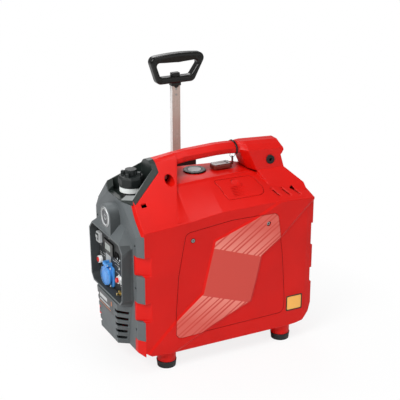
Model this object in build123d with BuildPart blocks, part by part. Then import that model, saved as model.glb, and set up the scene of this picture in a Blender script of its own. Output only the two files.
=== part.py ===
from build123d import *
import os

os.makedirs("parts", exist_ok=True)

# A suitcase inverter generator: a two-shell plastic case round a small petrol engine, with a
# carry handle, a telescopic pole and two wheels. Millimetres. +X runs from the console at the
# front to the exhaust at the rear, -Y is the side with the maintenance cover, +Z is up. The
# origin is on the ground in the middle of the case.

# ================================================================ driving sizes
# Case
case_length = 500.0
case_width = 285.0
wall = 3.0
ground_gap = 42.0  # clear height under the case
seam = 0.3  # parting line between fixed pieces
play = 0.5  # between pieces that move apart
fit_gap = 0.05  # radial running clearance
front_depth = 41.0  # from the console's rim back to the shells' front edge
band_depth = 3.0  # the slanted band stands this far out of the sides
band_bevel = 8.0
rear_wall = 8.0  # the rear rim is thicker than the walls
rear_step = 5.0  # depth of the steps in the rear edge
rear_steps = ((150.0, 189.0), (250.0, 309.0))  # bottoms and tops of those steps
taper_length, taper_depth = 20.0, 3.0  # the sides draw in towards the rear edge
rear_x = case_length / 2
console_x = -case_length / 2
shell_x = console_x + front_depth
band_y = case_width / 2
side_y = band_y - band_depth

# Roof
shoulder_front = 363.0
shoulder_pillar = 371.0
shoulder_mid = 383.0
shoulder_rear = 378.0
deck_height = 440.0
deck_step = 5.0  # the deck stands this far above the slopes beside it
front_fall, rear_fall = 16.0, 38.0  # fall of the deck at the case's two ends
pillar_rear_x = shell_x + 121.0
pillar_back_x = pillar_rear_x + 20.0  # the pillar's rear face, at the handle
pillar_foot_x = pillar_rear_x - 36.5  # and at the case's sides

# Carry handle
handle_top = deck_height + 67.5
handle_height = 26.5
handle_half = 22.0
handle_crown = 13.0  # the handle's top stands this far above its two side edges
handle_arch = 5.5e-4  # fall of the handle's top per square millimetre
block_front_x = rear_x - 138.0  # rear block of the handle
handle_peak_x = block_front_x - 72.0
block_top = handle_top
block_crease = handle_top - 20.5  # height of the block's side edges, at its front
block_foot = deck_height - 4.0
block_half, block_foot_half = 38.0, 50.0
block_back, block_foot_back = rear_x - 46.0, rear_x - 36.5
block_end = rear_x - 33.0  # rearmost point of the block's top
top_fall, crease_fall = 0.062, 0.05  # fall of the block's top and side edges towards the rear
lip_rows = ((16.5, 41.5), (13.5, 38.0), (5.5, 32.0), (0.0, 33.0))  # below the edge, before rear_x
flare_low = block_foot - 34.0
flare_half, flare_back = 92.0, rear_x - 3.0

# Front panel
plate_step = 13.0  # the front plate stands this far in front of the shells
plate_x = shell_x - plate_step
plate_half = side_y - 17.5
plate_shoulder = shoulder_front - 13.0
plate_top_half = 43.0
panel_top = deck_height - 28.0
panel_foot = 46.0
collar_side = side_y - 51.5  # the collar's half width where it meets the front panel
wrap_reach = side_y - 32.5  # the shells' tabs reach in to here
wraps = ((36.0, 88.0), (137.0, 185.0), (254.0, 302.0))  # bottoms and tops of those tabs
scoop_length, scoop_depth = 17.0, 26.0  # of the hollows that run into the upper tabs
rim_low, rim_high = 168.0, 325.0
rim_half = side_y - 37.5
rim_wall = 3.5
recess_depth = 22.0
ledge = 5.0
louvre_height, louvre_pitch, louvre_count, louvre_low = 8.5, 17.8, 5, 66.0
boss_z = 365.0
boss_radius = 32.0
boss_out = 2.0  # the start boss stops this far behind the console's rim
start_radius, start_bezel = 24.5, 4.5  # start button's bezel ring and its width
start_travel = 3.0
screw_radius = 4.5
panel_screw_radius = 3.6
panel_screw_heights = (112.0, 219.0, 326.0)

# Console
display_size, display_out = (60.0, 34.0), 4.0
lcd_size = (34.0, 18.0)
rocker_size, rocker_out = (20.0, 26.0), 9.0
socket_flange, socket_radius, socket_out = 52.0, 21.0, 9.0
socket_lid_radius, socket_lid_thickness = 25.0, 5.0
pin_radius = 1.8
breaker_radius, breaker_out, breaker_travel = 6.5, 11.0, 3.0
collar_radius = 9.5

# Fuel filler
filler_x = shell_x + 30.5
collar_floor = panel_top - 9.0
collar_band = 13.5
collar_back_x, collar_back_half = pillar_rear_x - 36.0, 39.0
neck_radius = 22.0
gasket_radius = 28.0
gasket_height = 13.0
cap_radius = 31.0
cap_low = collar_floor + 31.0
cap_high = cap_low + 25.5
knob_radius = 14.0
knob_high = cap_high + 14.5
gauge_radius, gauge_stem, lens_radius = 28.0, 15.5, 17.3

# Side cover and plug lid
cover_thickness = 3.0
cover_seam = 1.0
cover_corner_radius = 16.0
cover_lip = 6.0  # the shell's seat reaches this far round the cover
cover_overlap = 9.0  # and this far under it
lid_corner_radius = 6.0
lid_thickness = 2.6
lid_overlap = 7.0

# Feet and wheels
foot_x = (shell_x + 65.0, rear_x - 73.0)
foot_y = -(side_y - 26.5)
foot_radius = 24.5
foot_height = 16.5
wheel_radius = 42.0
wheel_width = 30.0
wheel_y = side_y - 43.5
well_play = 3.0
axle_radius = 5.0

# Trolley
pole_y = side_y - 13.5
pole_size = (22.0, 13.0)
pole_wall = 1.5
pole_foot, pole_head = 225.0, 639.0
guide_wall = 2.0
guide_foot = 60.0
bracket_top = deck_height - 6.0
grip_foot = 635.0
grip_height = 75.0
grip_half_top, grip_half_foot = 79.0, 50.0
grip_shift = (-2.0, 5.0)  # of the grip's foot and of its top along the case: it leans to the rear
grip_depth = 24.0
grip_bar = 17.0
button_size, button_travel = (22.0, 15.0), 5.0

# Engine
crank_z = 165.0
crank_radius = 11.0
engine_x = 75.0
engine_half, case_half_y = 48.0, 58.0  # half length and half width of the crankcase
engine_foot, case_high = 62.0, 250.0
bore_radius = 26.0
head_low, head_high = 338.0, 368.0
tray_thickness = 4.0


# ================================================================ helpers
def closed(half):
    """Mirror a half outline, listed from its bottom to its top, about the middle plane."""
    return half + [(-y, z) for y, z in reversed(half) if y > 0]


def between(near, far, share):
    """Each value of one row moved towards the other row's by a share."""
    return tuple(a + (b - a) * share for a, b in zip(near, far))


def slab(outline, plane, depth, both=False):
    """A prism of an outline on a plane."""
    with BuildPart() as prism:
        with BuildSketch(plane):
            Polygon(*outline, align=None)
        extrude(amount=depth, both=both)
    return prism.part


def ruled(sections):
    """A straight-sided solid through outlines, each on its own plane."""
    with BuildPart() as solid:
        for plane, outline in sections:
            with BuildSketch(plane):
                Polygon(*outline, align=None)
        loft(ruled=True)
    return solid.part


def block(low, high):
    """A box between two opposite corners."""
    with BuildPart() as box:
        with BuildSketch(Plane.XY.offset(low[2])):
            with Locations(((low[0] + high[0]) / 2, (low[1] + high[1]) / 2)):
                Rectangle(high[0] - low[0], high[1] - low[1])
        extrude(amount=high[2] - low[2])
    return box.part


def rod(radius, start, direction, length, bore=0):
    """A cylinder, or a tube with a bore, from a start point along a direction."""
    with BuildPart() as round_bar:
        with BuildSketch(Plane(origin=start, z_dir=direction)):
            Circle(radius)
            if bore:
                Circle(bore, mode=Mode.SUBTRACT)
        extrude(amount=length)
    return round_bar.part


def inset(outline, amount):
    """The outline drawn in by amount, with its corners kept sharp."""
    if not amount:
        return outline
    with BuildSketch() as sketch:
        Polygon(*outline, align=None)
        offset(amount=-amount, kind=Kind.INTERSECTION)
    edges = sketch.sketch.faces()[0].outer_wire().order_edges()
    return [(e.position_at(0).X, e.position_at(0).Y) for e in edges]


def plan(front, back, half, draw_in):
    """A rectangle seen from above, drawn in on every side."""
    front, back, half = front + draw_in, back - draw_in, half - draw_in
    return [(front, -half), (back, -half), (back, half), (front, half)]


def keep(node, name):
    """Label a finished piece and write it."""
    node.part.label = name
    export_step(node.part, f"parts/{name}.step")


# ================================================================ case forms
def roof_sections(half):
    """Front to rear: where each section stands, and its outline."""
    step = deck_height - deck_step
    front, tail = deck_height - front_fall, deck_height - rear_fall
    # Place, shoulder, half width and height of the knee, half width and height of the deck
    rows = [
        (shell_x, shoulder_front, 75.0, front - 4, 70.0, front),
        (pillar_rear_x, shoulder_pillar, 66.0, step, 63.0, deck_height),
        (gauge_x, shoulder_mid - 1, 58.0, step, 55.0, deck_height),
        (block_front_x, shoulder_mid, 45.0, step - 2, 42.0, deck_height - 2),
        (rear_x, shoulder_rear, 75.0, tail - deck_step, 40.0, tail),
    ]
    share = 1 - taper_length / (rear_x - block_front_x)
    rows.insert(-1, between(rows[-2], rows[-1], share))
    foot = ground_gap - wall
    sections = []
    for x, shoulder, knee_half, knee, deck_half, deck in rows:
        side = half - taper_depth if x == rear_x else half
        sections.append((x, closed([(side, foot), (side, shoulder), (knee_half, knee), (deck_half, deck)])))
    return sections


def case_form(half, draw_in):
    """The case without its handle, with every face drawn in."""
    sections = roof_sections(half)
    ends = {shell_x: draw_in, rear_x: -draw_in}
    lofted = ruled([
        (Plane.YZ.offset(x + ends.get(x, 0)), inset(outline, draw_in)) for x, outline in sections
    ])
    profile = [
        (shell_x, ground_gap + 14), (shell_x + 14, ground_gap + 5), (foot_x[0] + 14, ground_gap),
        (foot_x[1] + 8, ground_gap), (rear_x - 43, ground_gap + 2), (rear_x - 24, ground_gap + 6),
        (rear_x - 7, ground_gap + 26), (rear_x, ground_gap + 50), (rear_x, handle_top), (shell_x, handle_top),
    ]
    with BuildPart() as form:
        add(lofted)
        add(slab(inset(profile, draw_in), Plane.XZ, case_width, both=True), mode=Mode.INTERSECT)
    return form.part


def pillar_shoulder(x):
    """Height of the shoulder along the front pillar."""
    share = (x - shell_x) / (pillar_rear_x - shell_x)
    return shoulder_front + (shoulder_pillar - shoulder_front) * share


def bar_top(x):
    """Height of the arched bar's top."""
    return handle_top - handle_arch * (x - handle_peak_x) ** 2


def crowned(half, edge, rise):
    """The crowned top of a section, from its side edge inwards, as half an outline."""
    return [(half, edge), (0.68 * half, edge + 0.54 * rise), (0.34 * half, edge + 0.88 * rise)]


def pillar_outline(x):
    """The front pillar's section: 45 degree slopes up from the shoulders to a crowned top."""
    shoulder = pillar_shoulder(x)
    edge = shoulder + side_y - handle_half
    rise = max(bar_top(x) - edge, 4.0)
    return closed([(side_y, shoulder - 40), (side_y, shoulder)] + crowned(handle_half, edge, rise))


def block_plan(front, half, back):
    """The rear block seen from above: a narrow front that widens to its sides."""
    nose_half = min(handle_half, half) - 1
    ahead, behind = front
    side = [(ahead, nose_half), (behind, half), (back, half)]
    return [(x, -y) for x, y in side] + side[::-1]


block_lean = (block_foot_half - block_half) / (block_crease - block_foot)
block_head = (block_front_x - 10, block_front_x + 7)  # where its front narrows, at the side edges
block_root = (block_front_x + 14, block_front_x + 25)  # and at its foot


def rear_block(draw_in):
    """The handle's rear block: leaning sides, a crowned top and a lip at its rear."""
    trim = [
        (block_head[0] - 5, block_foot - 20), (block_head[0] - 5, block_crease),
        (block_head[1], block_crease), (rear_x, block_crease - crease_fall * (rear_x - block_head[1])),
        (rear_x, block_foot - 20),
    ]
    body = ruled([
        (Plane.XY.offset(z), inset(block_plan(front, half, back), draw_in))
        for z, front, half, back in (
            (block_foot - 2 * draw_in, block_root, block_foot_half, block_foot_back),
            (block_crease, block_head, block_half, block_back),
        )
    ])
    crown = []
    for x in (*block_head, block_back, block_end - 4, block_end):
        if draw_in and x == block_head[0]:
            continue  # the block's nose stays solid
        drop = crease_fall * max(x - block_head[1], 0)
        half = (handle_half if x == block_head[0] else block_half + block_lean * drop) - draw_in
        edge = block_crease - drop
        top = block_top - top_fall * (x - block_head[0]) - (9.0 if x == block_end else 0) - draw_in
        foot = (half - 3, edge - (4 if x == block_head[0] else 12) + draw_in)
        ends = draw_in if x == block_head[1] else -2 * draw_in
        crown.append((Plane.YZ.offset(x + ends), closed([foot] + crowned(half, edge - draw_in, top - edge))))
    with BuildPart() as form:
        add(body)
        add(slab(inset(trim, draw_in), Plane.XZ, case_width, both=True), mode=Mode.INTERSECT)
        add(ruled(crown))
        if not draw_in:
            end_fall = crease_fall * (block_end - block_head[1])
            lip = []
            for drop, before in lip_rows:
                half = block_half + block_lean * (end_fall + drop)
                outline = plan(block_back - 20, rear_x - before, half, 0)
                lip.append((Plane.XY.offset(block_crease - end_fall - drop), outline))
            add(ruled(lip))
    return form.part


def handle_form(draw_in):
    """Front pillar, arched bar and rear block of the carry handle, drawn in."""
    sections = []
    for x in (pillar_rear_x - 20, pillar_rear_x + 50, handle_peak_x, block_front_x - 40, block_front_x + 15):
        edge, foot = bar_top(x) - handle_crown, bar_top(x) - handle_height + draw_in
        half = handle_half - draw_in
        outline = [(half - 3, foot), (half, foot + 3)] + crowned(half, edge - draw_in, handle_crown)
        sections.append((Plane.YZ.offset(x), closed(outline)))
    skirt = ruled([
        (Plane.XY.offset(z), inset(block_plan(front, half, back), draw_in))
        for z, front, half, back in (
            (flare_low - 14, (block_front_x + 24, block_front_x + 48), flare_half + 17, flare_back - 1),
            (flare_low, (block_front_x + 20, block_front_x + 42), flare_half, flare_back),
            (
                block_foot + 6 - draw_in, (block_root[0] + 1, block_root[1] + 1),
                block_foot_half - 7, block_foot_back - 6,
            ),
        )
    ])
    pillar = ruled([
        (Plane.YZ.offset(x), inset(pillar_outline(x), draw_in))
        for x in (shell_x + draw_in, pillar_rear_x - 42, pillar_back_x - draw_in)
    ])
    pillar_plan = [
        (shell_x - 20, -band_y), (pillar_foot_x, -side_y), (pillar_back_x, -handle_half),
        (pillar_back_x, handle_half), (pillar_foot_x, side_y), (shell_x - 20, band_y),
    ]
    with BuildPart() as form:
        add(pillar)
        add(slab(inset(pillar_plan, draw_in), Plane.XY, handle_top + 20), mode=Mode.INTERSECT)
        add(ruled(sections))
        add(rear_block(draw_in))
        add(skirt)
    return form.part


def band_form(side):
    """The bevelled slanted band on one side, reaching past the edges of the case."""
    outline = [
        (shell_x - 26, 30.0), (-130.0, 133.0), (-63.0, 186.0), (-44.0, 265.0), (-31.0, 317.0), (80.0, 355.0),
        (165.0, 394.0), (rear_x + 25, 394.0), (156.0, 282.0), (107.0, 248.0), (94.0, 191.0), (78.0, 131.0),
        (-29.0, 88.0), (-150.0, 30.0),
    ]
    return ruled([
        (Plane.XZ.offset(-side * (side_y - 1)), outline),
        (Plane.XZ.offset(-side * band_y), inset(outline, band_bevel)),
    ])


gauge_x, gauge_y = -5.0, 10.0
base_form = case_form(side_y, 0)
wide_form = case_form(band_y, 0)
grip_form = handle_form(0)
with BuildPart() as bands:
    add(band_form(-1))
    add(band_form(1))
    add(wide_form, mode=Mode.INTERSECT)
with BuildPart() as outer:
    add(base_form)
    add(bands.part)
    add(grip_form)
    for low, high in rear_steps:
        add(block((rear_x - rear_step, -band_y, low), (rear_x + 1, band_y, high)), mode=Mode.SUBTRACT)
with BuildPart() as cavity:
    add(case_form(side_y, wall))
    add(block((rear_x - rear_wall, -band_y, 0), (rear_x + 1, band_y, handle_top)), mode=Mode.SUBTRACT)
    add(handle_form(wall))

# ================================================================ outlines shared by several pieces
fan_half = collar_side - 1
fan = [
    (collar_back_x, -collar_back_half), (shell_x + 3, -fan_half), (plate_x, -plate_top_half),
    (plate_x, plate_top_half), (shell_x + 3, fan_half), (collar_back_x, collar_back_half),
]
cover_corners = [
    (-131.0, 77.0), (-129.0, 140.0), (-122.0, 240.0), (-102.0, 345.0), (20.0, 357.0),
    (146.0, 355.0), (162.0, 240.0), (171.0, 120.0), (169.0, 83.0), (-38.0, 80.0),
]
cover_screw_places = ((-84.0, 324.0), (120.0, 331.0))
lid_front, lid_far, lid_near = block_front_x - 103, -(side_y - 80.5), -(side_y - 26.5)
lid_corners = [
    (lid_front, lid_far), (lid_front + 10, lid_far - 19), (lid_front + 12, lid_near + 16),
    (lid_front + 17, lid_near), (lid_front + 105, lid_near + 1), (lid_front + 118, lid_near + 9),
    (lid_front + 122, lid_near + 25), (lid_front + 114, lid_far - 1), (lid_front + 106, lid_far + 6),
]


def cover_prism(margin, y_start, depth):
    """A prism of the maintenance cover's outline, grown by margin, running out to the near side."""
    with BuildPart() as prism:
        with BuildSketch(Plane.XZ.offset(y_start)):
            Polygon(*cover_corners, align=None)
            fillet(vertices(), cover_corner_radius)
            offset(amount=margin)
        extrude(amount=depth)
    return prism.part


def lid_prism(margin):
    """An upright prism of the plug lid's outline, grown by margin."""
    with BuildPart() as prism:
        with BuildSketch(Plane.XY.offset(shoulder_front)):
            Polygon(*lid_corners, align=None)
            fillet(vertices(), lid_corner_radius)
            offset(amount=margin)
        extrude(amount=handle_top - shoulder_front)
    return prism.part


def slope_layer(top_drop, bottom_drop, margin, hole=None):
    """The part of the near slope between two depths, inside the lid's outline."""
    with BuildPart() as layer:
        add(base_form.moved(Location((0, 0, -top_drop))))
        add(base_form.moved(Location((0, 0, -bottom_drop))), mode=Mode.SUBTRACT)
        add(lid_prism(margin), mode=Mode.INTERSECT)
        if hole is not None:
            add(lid_prism(hole), mode=Mode.SUBTRACT)
    return layer.part


def slope_height(x, y):
    """Height of the roof's near slope, between the gauge and the handle's rear block."""
    share = (x - gauge_x) / (block_front_x - gauge_x)
    knee_half, knee = 58.0 - 13.0 * share, deck_height - deck_step - 2 * share
    return knee + (shoulder_mid - knee) * (-y - knee_half) / (side_y - knee_half)


def wrap_blocks(margin):
    """The spaces of the shells' tabs on the front plate, and of the near shell's upper corner."""
    low = shoulder_front - 8 - margin
    corner = [
        (side_y + 1, low), (side_y + 1, shoulder_front + 5), (collar_side, panel_top + 8),
        (collar_side - 12 - margin, panel_top), (side_y - 14 - margin, low),
    ]
    outline = [(-y, z) for y, z in corner]
    spaces = [slab(outline, Plane.YZ.offset(shell_x - 5 - margin), 5 + margin)]
    for low, high in wraps:
        for side in (-1, 1):
            inner, outer_edge = sorted((side * (wrap_reach - margin), side * band_y))
            spaces.append(block((plate_x - 1, inner, low - margin), (shell_x, outer_edge, high + margin)))
    return spaces


# Front plate with its bevelled edge, before the tabs are shared out
nose = ruled([
    (Plane.YZ.offset(plate_x), closed([
        (plate_half, panel_foot + 8), (plate_half, plate_shoulder), (plate_top_half, panel_top),
    ])),
    (Plane.YZ.offset(shell_x), closed([
        (side_y, panel_foot), (side_y, shoulder_front - 2), (collar_side, panel_top),
    ])),
])

# ================================================================ wells, guide and openings in the shells
well_half = wheel_width / 2 + well_play
well_inner_y = wheel_y - wheel_radius - well_play
well_top = 2 * wheel_radius + well_play
liner_foot = wheel_radius - axle_radius - 7  # the liners reach below the axles
wells = [block((x - well_half, well_inner_y, 0), (x + well_half, band_y + 1, well_top)) for x in foot_x]
liners = [
    block(
        (x - well_half - wall, well_inner_y - wall, liner_foot),
        (x + well_half + wall, side_y - wall / 2, well_top + wall),
    )
    for x in foot_x
]
axle_length = 2 * (well_half + wall)
axle_holes = [
    rod(axle_radius, (x - well_half - wall - 1, wheel_y, wheel_radius), (1, 0, 0), axle_length + 2)
    for x in foot_x
]
guide_size = tuple(size + 2 * (play / 2 + guide_wall) for size in pole_size)
guide_hole = block(
    (-guide_size[0] / 2, pole_y - guide_size[1] / 2, shoulder_front),
    (guide_size[0] / 2, pole_y + guide_size[1] / 2, bracket_top),
)
collar_space = slab(fan, Plane.XY.offset(collar_floor - seam), handle_top - collar_floor)
opening_half = side_y - 39.5
front_opening = block((shell_x - 1, -opening_half, 70), (shell_x + wall + 1, opening_half, 385))
rear_half, rear_low, rear_high = side_y - 34.5, 100.0, 350.0
rear_opening = block((rear_x - rear_wall - 1, -rear_half, rear_low), (rear_x + 1, rear_half, rear_high))
outlet_y, outlet_z, outlet_radius = -30.0, 250.0, 13.0
vent_pitch, vent_sink = 28.5, 1.6
vent_far, vent_near = -(side_y - 46.5), -(side_y - 11.5)
vents = []
with BuildPart() as vent_pans:
    for i in range(3):
        x = rear_x - 105 + i * vent_pitch
        pan = [(x, vent_far - 5), (x + 9, vent_far), (x + 22, vent_near + 6), (x + 11, vent_near)]
        slit = [
            (x + 6, vent_far - 6), (x + 10, vent_far - 5), (x + 19.5, vent_near + 9),
            (x + 15.5, vent_near + 9),
        ]
        add(slab(pan, Plane.XY.offset(shoulder_front), 80))
        vents.append(slab(slit, Plane.XY.offset(shoulder_front), 60))
    add(base_form.moved(Location((0, 0, -vent_sink))), mode=Mode.SUBTRACT)
gauge_hole = rod(gauge_stem, (gauge_x, gauge_y, deck_height - 20), (0, 0, 1), 30)
plug_x, plug_z, plug_radius = rear_x - 73, block_foot + 22, 11.0
plug_hole = rod(plug_radius, (plug_x, -block_half - 20, plug_z), (0, 1, 0), 24)
pocket_radius, pocket_depth = 11.7, 30.0  # the deep screw pocket in the pillar's near slope
pocket_x, pocket_y = pillar_rear_x - 16.5, -(handle_half + 36.0)
pocket_floor = (pocket_x, pocket_y + pocket_depth, pillar_shoulder(pocket_x) + side_y + pocket_y)
pocket_under = (pocket_x, pocket_floor[1] + wall, pocket_floor[2])
with BuildPart() as pocket_cup:
    add(rod(pocket_radius + 2, pocket_under, (0, -1, 0), 2 * pocket_depth))
    add(outer.part, mode=Mode.INTERSECT)
notch = block(
    (shell_x + 16, -(side_y - 45.0), shoulder_front + 41),
    (shell_x + 29, -(side_y - 53.0), shoulder_front + 62),
)

with BuildPart() as shell:
    add(outer.part)
    add(cavity.part, mode=Mode.SUBTRACT)
    add(front_opening, mode=Mode.SUBTRACT)
    add(rear_opening, mode=Mode.SUBTRACT)
    add(collar_space, mode=Mode.SUBTRACT)
with BuildPart() as tab_spaces:
    for space in wrap_blocks(0):
        add(space)
with BuildPart() as tabs:
    add(nose)
    add(tab_spaces.part, mode=Mode.INTERSECT)
with BuildPart() as fronted:  # the shells with their tabs, and with hollows running into the upper ones
    add(shell.part)
    add(tabs.part)
    for low, high in wraps[1:]:
        for side in (-1, 1):
            inner, outer_edge = sorted((side * (side_y - scoop_depth - 5), side * side_y))
            add(block((shell_x, inner, low - wall), (shell_x + scoop_length + wall, outer_edge, high + wall)))
            scoop = [
                (shell_x + scoop_length, side * side_y), (plate_x - 1, side * (side_y - scoop_depth)),
                (plate_x - 1, side * (band_y + 5)), (shell_x + scoop_length, side * (band_y + 5)),
            ]
            add(slab(scoop, Plane.XY.offset(low), high - low), mode=Mode.SUBTRACT)

# ================================================================ case pieces
cover_back = side_y - cover_thickness
cover_reach = cover_thickness + band_depth + 1
screw_boss_radius, screw_boss_length = 7.0, 12.0
with BuildPart() as cover_seat:
    add(cover_prism(cover_lip, cover_back - wall, wall))
    add(cover_prism(-cover_overlap, cover_back - wall, wall), mode=Mode.SUBTRACT)
    for x, z in cover_screw_places:
        add(rod(screw_boss_radius, (x, -cover_back, z), (0, 1, 0), screw_boss_length))
        lug_half = screw_boss_radius - 1
        add(block((x - lug_half, -cover_back, z), (x + lug_half, -cover_back + wall, z + 24)))

foot_boss = foot_radius - 1.5
with BuildPart() as near_shell:
    add(fronted.part)
    split(bisect_by=Plane.XZ.offset(seam / 2), keep=Keep.TOP)
    add(cover_prism(cover_seam / 2, cover_back, cover_reach), mode=Mode.SUBTRACT)
    add(cover_prism(-cover_overlap, cover_back - wall, cover_reach), mode=Mode.SUBTRACT)
    add(cover_seat.part)
    for x, z in cover_screw_places:
        thread = rod(screw_radius / 2, (x, -cover_back - 1, z), (0, 1, 0), screw_boss_length + 2)
        add(thread, mode=Mode.SUBTRACT)
    add(slope_layer(lid_thickness, lid_thickness + wall, 5, -lid_overlap))
    add(slope_layer(-1, lid_thickness, cover_seam / 2), mode=Mode.SUBTRACT)
    add(slope_layer(-1, lid_thickness + 2 * wall, -lid_overlap), mode=Mode.SUBTRACT)
    add(gauge_hole, mode=Mode.SUBTRACT)
    add(plug_hole, mode=Mode.SUBTRACT)
    add(pocket_cup.part)
    add(rod(pocket_radius, pocket_floor, (0, -1, 0), 2 * pocket_depth), mode=Mode.SUBTRACT)
    add(notch, mode=Mode.SUBTRACT)
    add(vent_pans.part, mode=Mode.SUBTRACT)
    for vent in vents:
        add(vent, mode=Mode.SUBTRACT)
    for x in foot_x:
        foot = (x, foot_y, foot_height)
        add(rod(foot_boss, foot, (0, 0, 1), ground_gap - foot_height + wall, foot_boss - 4.5))
        add(rod(foot_boss, foot, (0, 0, 1), wall))
keep(near_shell, "near_shell")

with BuildPart() as far_shell:
    add(fronted.part)
    split(bisect_by=Plane.XZ.offset(-seam / 2), keep=Keep.BOTTOM)
    for liner in liners:
        add(liner)
    for space in wells + axle_holes + [guide_hole, gauge_hole]:
        add(space, mode=Mode.SUBTRACT)
keep(far_shell, "far_shell")

with BuildPart() as side_cover:
    add(outer.part)
    add(cover_prism(-cover_seam / 2, cover_back, cover_reach), mode=Mode.INTERSECT)
    for x, z in cover_screw_places:
        add(rod(screw_radius + 1.5, (x, -side_y + 2, z), (0, -1, 0), cover_reach), mode=Mode.SUBTRACT)
        clearance = rod((screw_radius + play) / 2, (x, -cover_back + 1, z), (0, -1, 0), cover_reach)
        add(clearance, mode=Mode.SUBTRACT)
keep(side_cover, "side_cover")

rib_count, rib_pitch, rib_length = 7, 4.2, 68.0
with BuildPart() as plug_lid:
    add(slope_layer(0, lid_thickness - play / 2, -cover_seam / 2))
    for i in range(rib_count):
        y = lid_near + 7.5 + rib_pitch * i
        start = (lid_front + 36, y, slope_height(lid_front + 70, y) + 0.3)
        add(rod(1.0, start, (1, 0, 0), rib_length), mode=Mode.SUBTRACT)
    finger_x, finger_y, finger_depth = lid_front + 55, lid_far - 8, 1.4
    finger_floor = (finger_x, finger_y, slope_height(finger_x, finger_y) - finger_depth)
    add(rod(9.0, finger_floor, (0, -0.58, 1), 9), mode=Mode.SUBTRACT)
keep(plug_lid, "plug_lid")

# ---------------------------------------------------------------- front panel
rim = closed([
    (rim_half - 19, rim_low), (rim_half - 5, rim_low + 15),
    (rim_half, rim_high - 20), (rim_half - 19, rim_high),
])
rim_base = closed([
    (rim_half - 12, rim_low - 8), (rim_half + 1, rim_low + 15), (rim_half - 1, rim_high - 9),
    (rim_half - 42, rim_high + 28),
])
console_box = ruled([(Plane.YZ.offset(console_x), rim), (Plane.YZ.offset(plate_x), rim_base)])
recess_outline = inset(rim, rim_wall)
plate_back = console_x + recess_depth + wall  # back face of the console plate
chin_top, chin_foot = rim_low - 6, panel_foot + 8
plan_top = [(console_x, -62.0), (plate_x + 1, -95.0), (plate_x + 1, 95.0), (console_x, 62.0)]
plan_foot = [(console_x + 5, -53.0), (plate_x + 1, -70.0), (plate_x + 1, 70.0), (console_x + 5, 53.0)]
chin = ruled([(Plane.XY.offset(chin_top), plan_top), (Plane.XY.offset(chin_foot), plan_foot)])
chin_space = ruled([
    (Plane.XY.offset(chin_top - wall), [(x + wall, y * 0.95) for x, y in plan_top]),
    (Plane.XY.offset(chin_foot + wall), [(x + wall, y * 0.95) for x, y in plan_foot]),
])
boss_x = console_x + boss_out
with BuildPart() as start_boss:
    with BuildSketch(Plane.YZ.offset(boss_x)):
        with Locations((0, boss_z)):
            Circle(boss_radius)
        with Locations((0, boss_z - boss_radius / 2 - 8)):
            Rectangle(2 * boss_radius, boss_radius + 16)
    extrude(amount=plate_x - boss_x)
louvres = []
for i in range(louvre_count):
    low = louvre_low + i * louvre_pitch
    louvres.append(block((console_x - 1, -95, low), (plate_x - 4, -46, low + louvre_height)))
    louvres.append(block((console_x - 1, 46, low), (plate_x - 4, 95, low + louvre_height)))
panel_screw_y = plate_half - 9
panel_screw_places = [(y, z) for y in (-panel_screw_y, panel_screw_y) for z in panel_screw_heights]
with BuildPart() as front_panel:
    add(nose)
    for space in wrap_blocks(seam):
        add(space, mode=Mode.SUBTRACT)
    pocket_half = opening_half - 3
    back_outline = closed([
        (pocket_half, 66), (pocket_half, plate_shoulder + 8), (plate_top_half - 4, panel_top - 12),
    ])
    add(slab(back_outline, Plane.YZ.offset(plate_x + wall), plate_step), mode=Mode.SUBTRACT)
    add(console_box)
    add(chin)
    add(start_boss.part)
    add(slab(recess_outline, Plane.YZ.offset(console_x - 1), 1 + plate_back - console_x), mode=Mode.SUBTRACT)
    add(slab(inset(recess_outline, ledge), Plane.YZ.offset(console_x), front_depth), mode=Mode.SUBTRACT)
    add(chin_space, mode=Mode.SUBTRACT)
    add(rod(start_radius, (boss_x - 1, 0, boss_z), (1, 0, 0), 7), mode=Mode.SUBTRACT)
    add(rod(start_radius - start_bezel, (boss_x, 0, boss_z), (1, 0, 0), front_depth), mode=Mode.SUBTRACT)
    for louvre in louvres:
        add(louvre, mode=Mode.SUBTRACT)
    for y, z in panel_screw_places:
        add(rod(panel_screw_radius + play / 2, (plate_x - 1, y, z), (1, 0, 0), 6), mode=Mode.SUBTRACT)
        add(rod(panel_screw_radius / 2, (plate_x, y, z), (1, 0, 0), front_depth), mode=Mode.SUBTRACT)
keep(front_panel, "front_panel")

cover_x = rear_x - rear_wall  # the rear cover seats on the rim from inside
vent_half = rear_half - 25
with BuildPart() as rear_cover:
    add(block((cover_x - wall, -rear_half - 5, rear_low - 5), (cover_x, rear_half + 5, rear_high + 5)))
    cover_half = rear_half - seam
    add(block((cover_x, -cover_half, rear_low + seam), (cover_x + wall, cover_half, rear_high - seam)))
    for i in range(louvre_count + 1):
        low = rear_low + 12 + i * louvre_pitch
        louvre = block((cover_x - wall - 1, -vent_half, low), (rear_x, vent_half, low + louvre_height))
        add(louvre, mode=Mode.SUBTRACT)
    add(rod(outlet_radius + 3, (cover_x - wall - 1, outlet_y, outlet_z), (1, 0, 0), 20), mode=Mode.SUBTRACT)
keep(rear_cover, "rear_cover")

with BuildPart() as case_screws:
    for x, z in cover_screw_places:
        add(rod(screw_radius, (x, -side_y + 2, z), (0, -1, 0), 2.5))
        add(rod(screw_radius / 2, (x, -cover_back + screw_boss_length, z), (0, -1, 0), screw_boss_length + 1))
    for y, z in panel_screw_places:
        add(rod(panel_screw_radius, (plate_x + 2, y, z), (1, 0, 0), 3))
        add(rod(panel_screw_radius / 2, (plate_x + 5, y, z), (1, 0, 0), plate_step - 5))
    add(rod(screw_radius + 1, pocket_floor, (0, -1, 0), 3))
keep(case_screws, "case_screws")

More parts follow.
